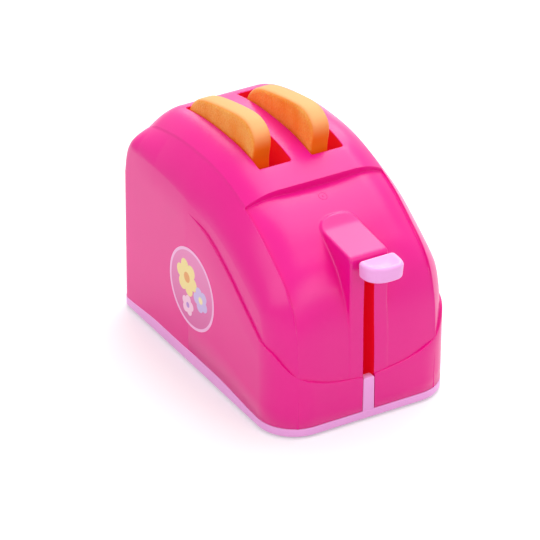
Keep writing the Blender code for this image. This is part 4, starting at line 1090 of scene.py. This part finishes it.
def make_gate_mark(skin, material):
    """The mark that the moulding's gate leaves: half a round section carried round a circle on the
    skin, and a low dome at its centre."""
    bpy.context.view_layer.update()
    turn = np.linspace(0, 2 * math.pi, 48, endpoint=False)

    def ring(radius, rise):
        points = []
        for x, y in zip(radius * np.cos(turn), FRONT + GATE_PLACE + radius * np.sin(turn)):
            point = skin.ray_cast(Vector((x, y, ARCH_HEIGHT * 2)), Vector((0, 0, -1)))[1]
            points.append((x, y, point.z + rise))
        return points

    section = np.linspace(0, math.pi, 7)

    def rise(a):
        return GATE_RIDGE * (math.sin(a) - GATE_SINK_SHARE)

    ridge = [ring(GATE_RADIUS + GATE_RIDGE * math.cos(a), rise(a)) for a in section]
    dome = [ring(GATE_RIDGE * 2 * math.cos(a), rise(a)) for a in section[:4] * 0.95]
    points, faces = gathered(swept(ridge), swept(dome, cap_last=True))
    return mesh_object("gate_mark", points, faces, material, 60)


def painted_shade_glow_plastic(name, colour, strength):
    """The same pink moulding inside the slots, with painted shade and glow: a deep red colour and a faint
    emission stand in for the shade and the light bounced between its walls.
    """
    material = plastic_material(name, colour, 0.45)
    shader = material.node_tree.nodes["Principled BSDF"]
    shader.inputs["Emission Color"].default_value = linear(colour)
    shader.inputs["Emission Strength"].default_value = strength
    return material


def slice_material():
    """Soft orange vinyl: a pebbled skin of grains about 1.3 mm across, with painted shade that makes it
    duller and redder in the pits between them, and a crust painted paler towards the top as painted light."""
    material, tree, shader, place = new_material("pebbled orange vinyl")
    grain = {"Vector": place, "Scale": 1 / (1.3 * MM)}
    grain = add_node(tree, "ShaderNodeTexVoronoi", grain, feature="SMOOTH_F1")
    fine = add_node(tree, "ShaderNodeTexNoise", {"Vector": place, "Scale": 1 / (0.9 * MM), "Detail": 3.0})
    broad = add_node(tree, "ShaderNodeTexNoise", {"Vector": place, "Scale": 1 / (14 * MM), "Detail": 2.0})
    pebble = {0: grain.outputs["Distance"], 1: fine.outputs["Fac"]}
    pebble = add_node(tree, "ShaderNodeMath", pebble, operation="ADD").outputs["Value"]
    tone = {0: broad.outputs["Fac"], 1: fine.outputs["Fac"]}
    tone = add_node(tree, "ShaderNodeMath", tone, operation="MULTIPLY").outputs["Value"]
    # Painted shade in the pits: the fine noise that lowers the bump also darkens and reddens the colour
    # there, and the broad noise drifts it at random.
    ramp = add_node(tree, "ShaderNodeValToRGB", {"Fac": tone})
    stops = ((0.12, "#f8902e"), (0.42, "#ffb95e"))
    for element, (position, code) in zip(ramp.color_ramp.elements, stops):
        element.position, element.color = position, linear(code)
    crust = add_node(tree, "ShaderNodeAttribute", attribute_name="crust").outputs["Fac"]
    pale = add_node(tree, "ShaderNodeAttribute", attribute_name="pale").outputs["Fac"]
    # Painted light and shade on the crust: deeper orange low down, paler towards the top.
    edge = blended(tree, pale, linear("#ee7210"), linear("#ffb274"))
    tree.links.new(blended(tree, crust, ramp.outputs["Color"], edge), shader.inputs["Base Color"])
    bump = {"Height": pebble, "Distance": 0.45 * MM, "Strength": ranged(tree, crust, 0.9, 0.15)}
    tree.links.new(add_node(tree, "ShaderNodeBump", bump).outputs["Normal"], shader.inputs["Normal"])
    shader.inputs["Roughness"].default_value = 0.55
    shader.inputs["IOR"].default_value = 1.40
    shader.inputs["Specular IOR Level"].default_value = 0.22
    return material


def sticker_material():
    """Printed film under a clear coat: a magenta field that lightens upwards, a pale border, and
    flowers in cream, lavender and rose."""
    material, tree, shader, place = new_material("printed film")
    height = add_node(tree, "ShaderNodeSeparateXYZ", {"Vector": place}).outputs["Z"]
    low = UNDERSIDE + STICKER_HEIGHT - STICKER_RADIUS
    fade = ranged(tree, height, 0.0, 1.0, low, low + STICKER_RADIUS * 2)
    colour = blended(tree, fade, linear("#d9539f"), linear("#ea7fba"))
    for name, *_, petal_code, eye_code in FLOWERS:
        for field, code in ((name, petal_code), (f"{name}_eye", eye_code)):
            inside = add_node(tree, "ShaderNodeAttribute", attribute_name=field).outputs["Fac"]
            colour = blended(tree, ranged(tree, inside, 0.0, 1.0, 0.0, PRINT_EDGE), colour, linear(code))
    rim = add_node(tree, "ShaderNodeAttribute", attribute_name="rim").outputs["Fac"]
    colour = blended(tree, ranged(tree, rim, 0.0, 1.0, *BORDER_EDGE), colour, linear("#f6b4e0"))
    tree.links.new(colour, shader.inputs["Base Color"])
    shader.inputs["Roughness"].default_value = 0.30
    shader.inputs["IOR"].default_value = 1.49
    return material


def metal_material(name, colour, roughness, spacing):
    """Plated steel: drawn or rolled, with fine streaks that blur its polish."""
    material, tree, shader, place = new_material(name)
    stretched = add_node(tree, "ShaderNodeMapping", {"Vector": place, "Scale": (1.0, 1.0, 0.08)})
    streak = {"Vector": stretched.outputs["Vector"], "Scale": 1 / spacing}
    streak = add_node(tree, "ShaderNodeTexNoise", streak).outputs["Fac"]
    tree.links.new(ranged(tree, streak, roughness * 0.7, roughness * 1.3), shader.inputs["Roughness"])
    bump = {"Height": streak, "Distance": 0.02 * MM, "Strength": 0.3}
    tree.links.new(add_node(tree, "ShaderNodeBump", bump).outputs["Normal"], shader.inputs["Normal"])
    shader.inputs["Base Color"].default_value = linear(colour)
    shader.inputs["Metallic"].default_value = 1.0
    return material


def paint_node(name, material):
    """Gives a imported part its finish."""
    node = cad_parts[name]
    node.data.materials.clear()
    node.data.materials.append(material)


STAGE_HALF = 3.0
FLOOR_TONE = 0.80
FLOOR_GLOW = 0.30
WORLD_LIGHT = 0.45


def seen_share(tree):
    """1 for rays from the camera, off gloss or through clear pieces, and 0 for the rest."""
    path = add_node(tree, "ShaderNodeLightPath")
    share = path.outputs["Is Camera Ray"]
    for kind in ("Is Glossy Ray", "Is Transmission Ray"):
        larger = add_node(tree, "ShaderNodeMath", {0: share, 1: path.outputs[kind]}, operation="MAXIMUM")
        share = larger.outputs[0]
    return share


def make_stage():
    """A white floor that keeps the toy's shadow and shows pure white where the light is full."""
    corners = np.array([(-1, -1, 0), (1, -1, 0), (1, 1, 0), (-1, 1, 0)], float) * STAGE_HALF
    corners[:, 2] = -GAP / 3
    floor = mesh_object("floor", corners, [[0, 1, 2, 3]], stage_material(), None)


def stage_material():
    """Pale floor: the camera sees it a little brighter than it is lit, and reflections do too."""
    material = bpy.data.materials.new("white floor")
    material.use_nodes = True
    tree = material.node_tree
    tree.nodes.clear()
    tone = {"Color": (FLOOR_TONE, FLOOR_TONE, FLOOR_TONE, 1.0)}
    diffuse = add_node(tree, "ShaderNodeBsdfDiffuse", tone).outputs[0]
    bright = {"Color": (1, 1, 1, 1), "Strength": FLOOR_GLOW}
    bright = add_node(tree, "ShaderNodeEmission", bright).outputs[0]
    both = add_node(tree, "ShaderNodeAddShader", {0: diffuse, 1: bright}).outputs[0]
    mix = add_node(tree, "ShaderNodeMixShader", {0: seen_share(tree), 1: diffuse, 2: both})
    add_node(tree, "ShaderNodeOutputMaterial", {"Surface": mix.outputs[0]})
    return material


def make_world():
    """Plain white surroundings at full strength for the camera and for gloss, softer as light."""
    world = bpy.data.worlds.new("studio")
    bpy.context.scene.world = world
    world.use_nodes = True
    tree = world.node_tree
    tree.nodes.clear()
    lit, seen = [
        add_node(tree, "ShaderNodeBackground", {"Color": (1, 1, 1, 1), "Strength": strength}).outputs[0]
        for strength in (WORLD_LIGHT, 1.0)
    ]
    mix = add_node(tree, "ShaderNodeMixShader", {0: seen_share(tree), 1: lit, 2: seen})
    add_node(tree, "ShaderNodeOutputWorld", {"Surface": mix.outputs[0]})


# Soft boxes: name, place, sides, power in watts
LAMPS = (
    ("top box", (0.45, 0.15, 1.30), (1.3, 1.3), 12.0),
    ("back box", (0.66, 1.05, 0.98), (1.2, 1.1), 10.0),
    ("left box", (-1.20, -0.30, 0.90), (1.0, 1.0), 6.2),
    ("front box", (0.30, -1.30, 0.90), (1.0, 0.8), 4.6),
)
LAMP_AIM = (0.0, 0.0, 0.08)


def make_lamps():
    """Square soft boxes that face the toy."""
    for name, place, size, power in LAMPS:
        light = bpy.data.lights.new(name, "AREA")
        light.shape = "RECTANGLE"
        light.size, light.size_y = size
        light.energy = power
        lamp = bpy.data.objects.new(name, light)
        lamp.location = place
        direction = Vector(LAMP_AIM) - Vector(place)
        lamp.rotation_euler = direction.to_track_quat("-Z", "Y").to_euler()
        bpy.context.scene.collection.objects.link(lamp)


CAMERA_LENS_PIXELS = 3950
SENSOR = 36.0
FRAME_PIXELS = 540
CAMERA_AZIMUTH = math.radians(-30.66)
CAMERA_ELEVATION = math.radians(30.4)
CAMERA_ROLL = math.radians(0.4)
CAMERA_PLACE = (-0.98787, -1.64060, 1.17780)


def make_camera():
    """A long lens far off, at the photograph's angle."""
    lens = bpy.data.cameras.new("camera")
    lens.sensor_width = SENSOR
    lens.lens = CAMERA_LENS_PIXELS * SENSOR / FRAME_PIXELS
    lens.clip_end = 20.0
    camera = bpy.data.objects.new("camera", lens)
    a, e = CAMERA_AZIMUTH, CAMERA_ELEVATION
    back = Vector((math.sin(a) * math.cos(e), -math.cos(a) * math.cos(e), math.sin(e)))
    right = Vector((math.cos(a), math.sin(a), 0.0))
    up = back.cross(right)
    c, s = math.cos(CAMERA_ROLL), math.sin(CAMERA_ROLL)
    right, up = right * c + up * s, up * c - right * s
    turn = Matrix((right, up, back)).transposed().to_4x4()
    camera.matrix_world = Matrix.Translation(CAMERA_PLACE) @ turn
    bpy.context.scene.collection.objects.link(camera)
    bpy.context.scene.camera = camera


make_camera()
make_world()
make_stage()
make_lamps()

pink = plastic_material("glossy pink moulded plastic", "#ef0790", 0.285)
# Painted shade and glow: the walls inside the bread slots and the lever slot, and the lining, are painted
# deep red and glow faintly in place of the shade and bounced light in the hollows.
painted_shade_red = painted_shade_glow_plastic("pink moulding with painted inner shade and glow", "#cc0420", 0.45)
pale_pink = plastic_material("pale pink moulded plastic", "#faaeee", 0.30)
white = plastic_material("natural white moulding", "#dcdcd6", 0.42)
orange = slice_material()
film = sticker_material()
rod_steel = metal_material("drawn zinc plated rod", "#c6c8cc", 0.28, 0.3 * MM)
wire_steel = metal_material("spring wire", "#a9abb0", 0.34, 0.2 * MM)
strip_steel = metal_material("spring strip", "#b4b4b2", 0.32, 0.4 * MM)
screw_steel = metal_material("zinc plated screw", "#c2c5cc", 0.30, 0.25 * MM)

housing, slot_left, slot_right = make_housing(pink, painted_shade_red)
skirt = make_skirt(pink)
# The lever channel and the lining wear the same deep red painted shade and glow.
channel = make_channel(slot_left, slot_right, painted_shade_red)
lining = make_lining(painted_shade_red)
gate_mark = make_gate_mark(housing, pink)
for piece in (housing, skirt, channel, lining, gate_mark):
    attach(piece, "housing")
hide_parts("body_shell")

base = make_base(pale_pink)
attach(base, "housing")
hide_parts("base_tray")

badge = make_sticker(film)
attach(badge, "housing")
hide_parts("side_sticker")

knob = make_knob(pale_pink)
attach(knob, "carriage")
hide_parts("lever_knob")

for slice_side, slice_word, slice_start in zip((-1, 1), ("left", "right"), SLICE_STARTS):
    toast = make_slice(slice_side, slice_word, slice_start, orange)
    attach(toast, f"slice_{slice_word}")
    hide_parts(f"toast_{slice_word}")
    spring = make_spring(slice_side, slice_word, wire_steel)
    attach(spring, "housing")
    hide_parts(f"lift_spring_{slice_word}")
    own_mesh(spring)

finishes = {"guide_rod": rod_steel, "screw": screw_steel, "hold_down_clip": strip_steel}
for node_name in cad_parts:
    finish = next((finishes[word] for word in finishes if word in node_name), white)
    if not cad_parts[node_name].hide_render:
        paint_node(node_name, finish)

bpy.context.scene.view_settings.view_transform = "Standard"
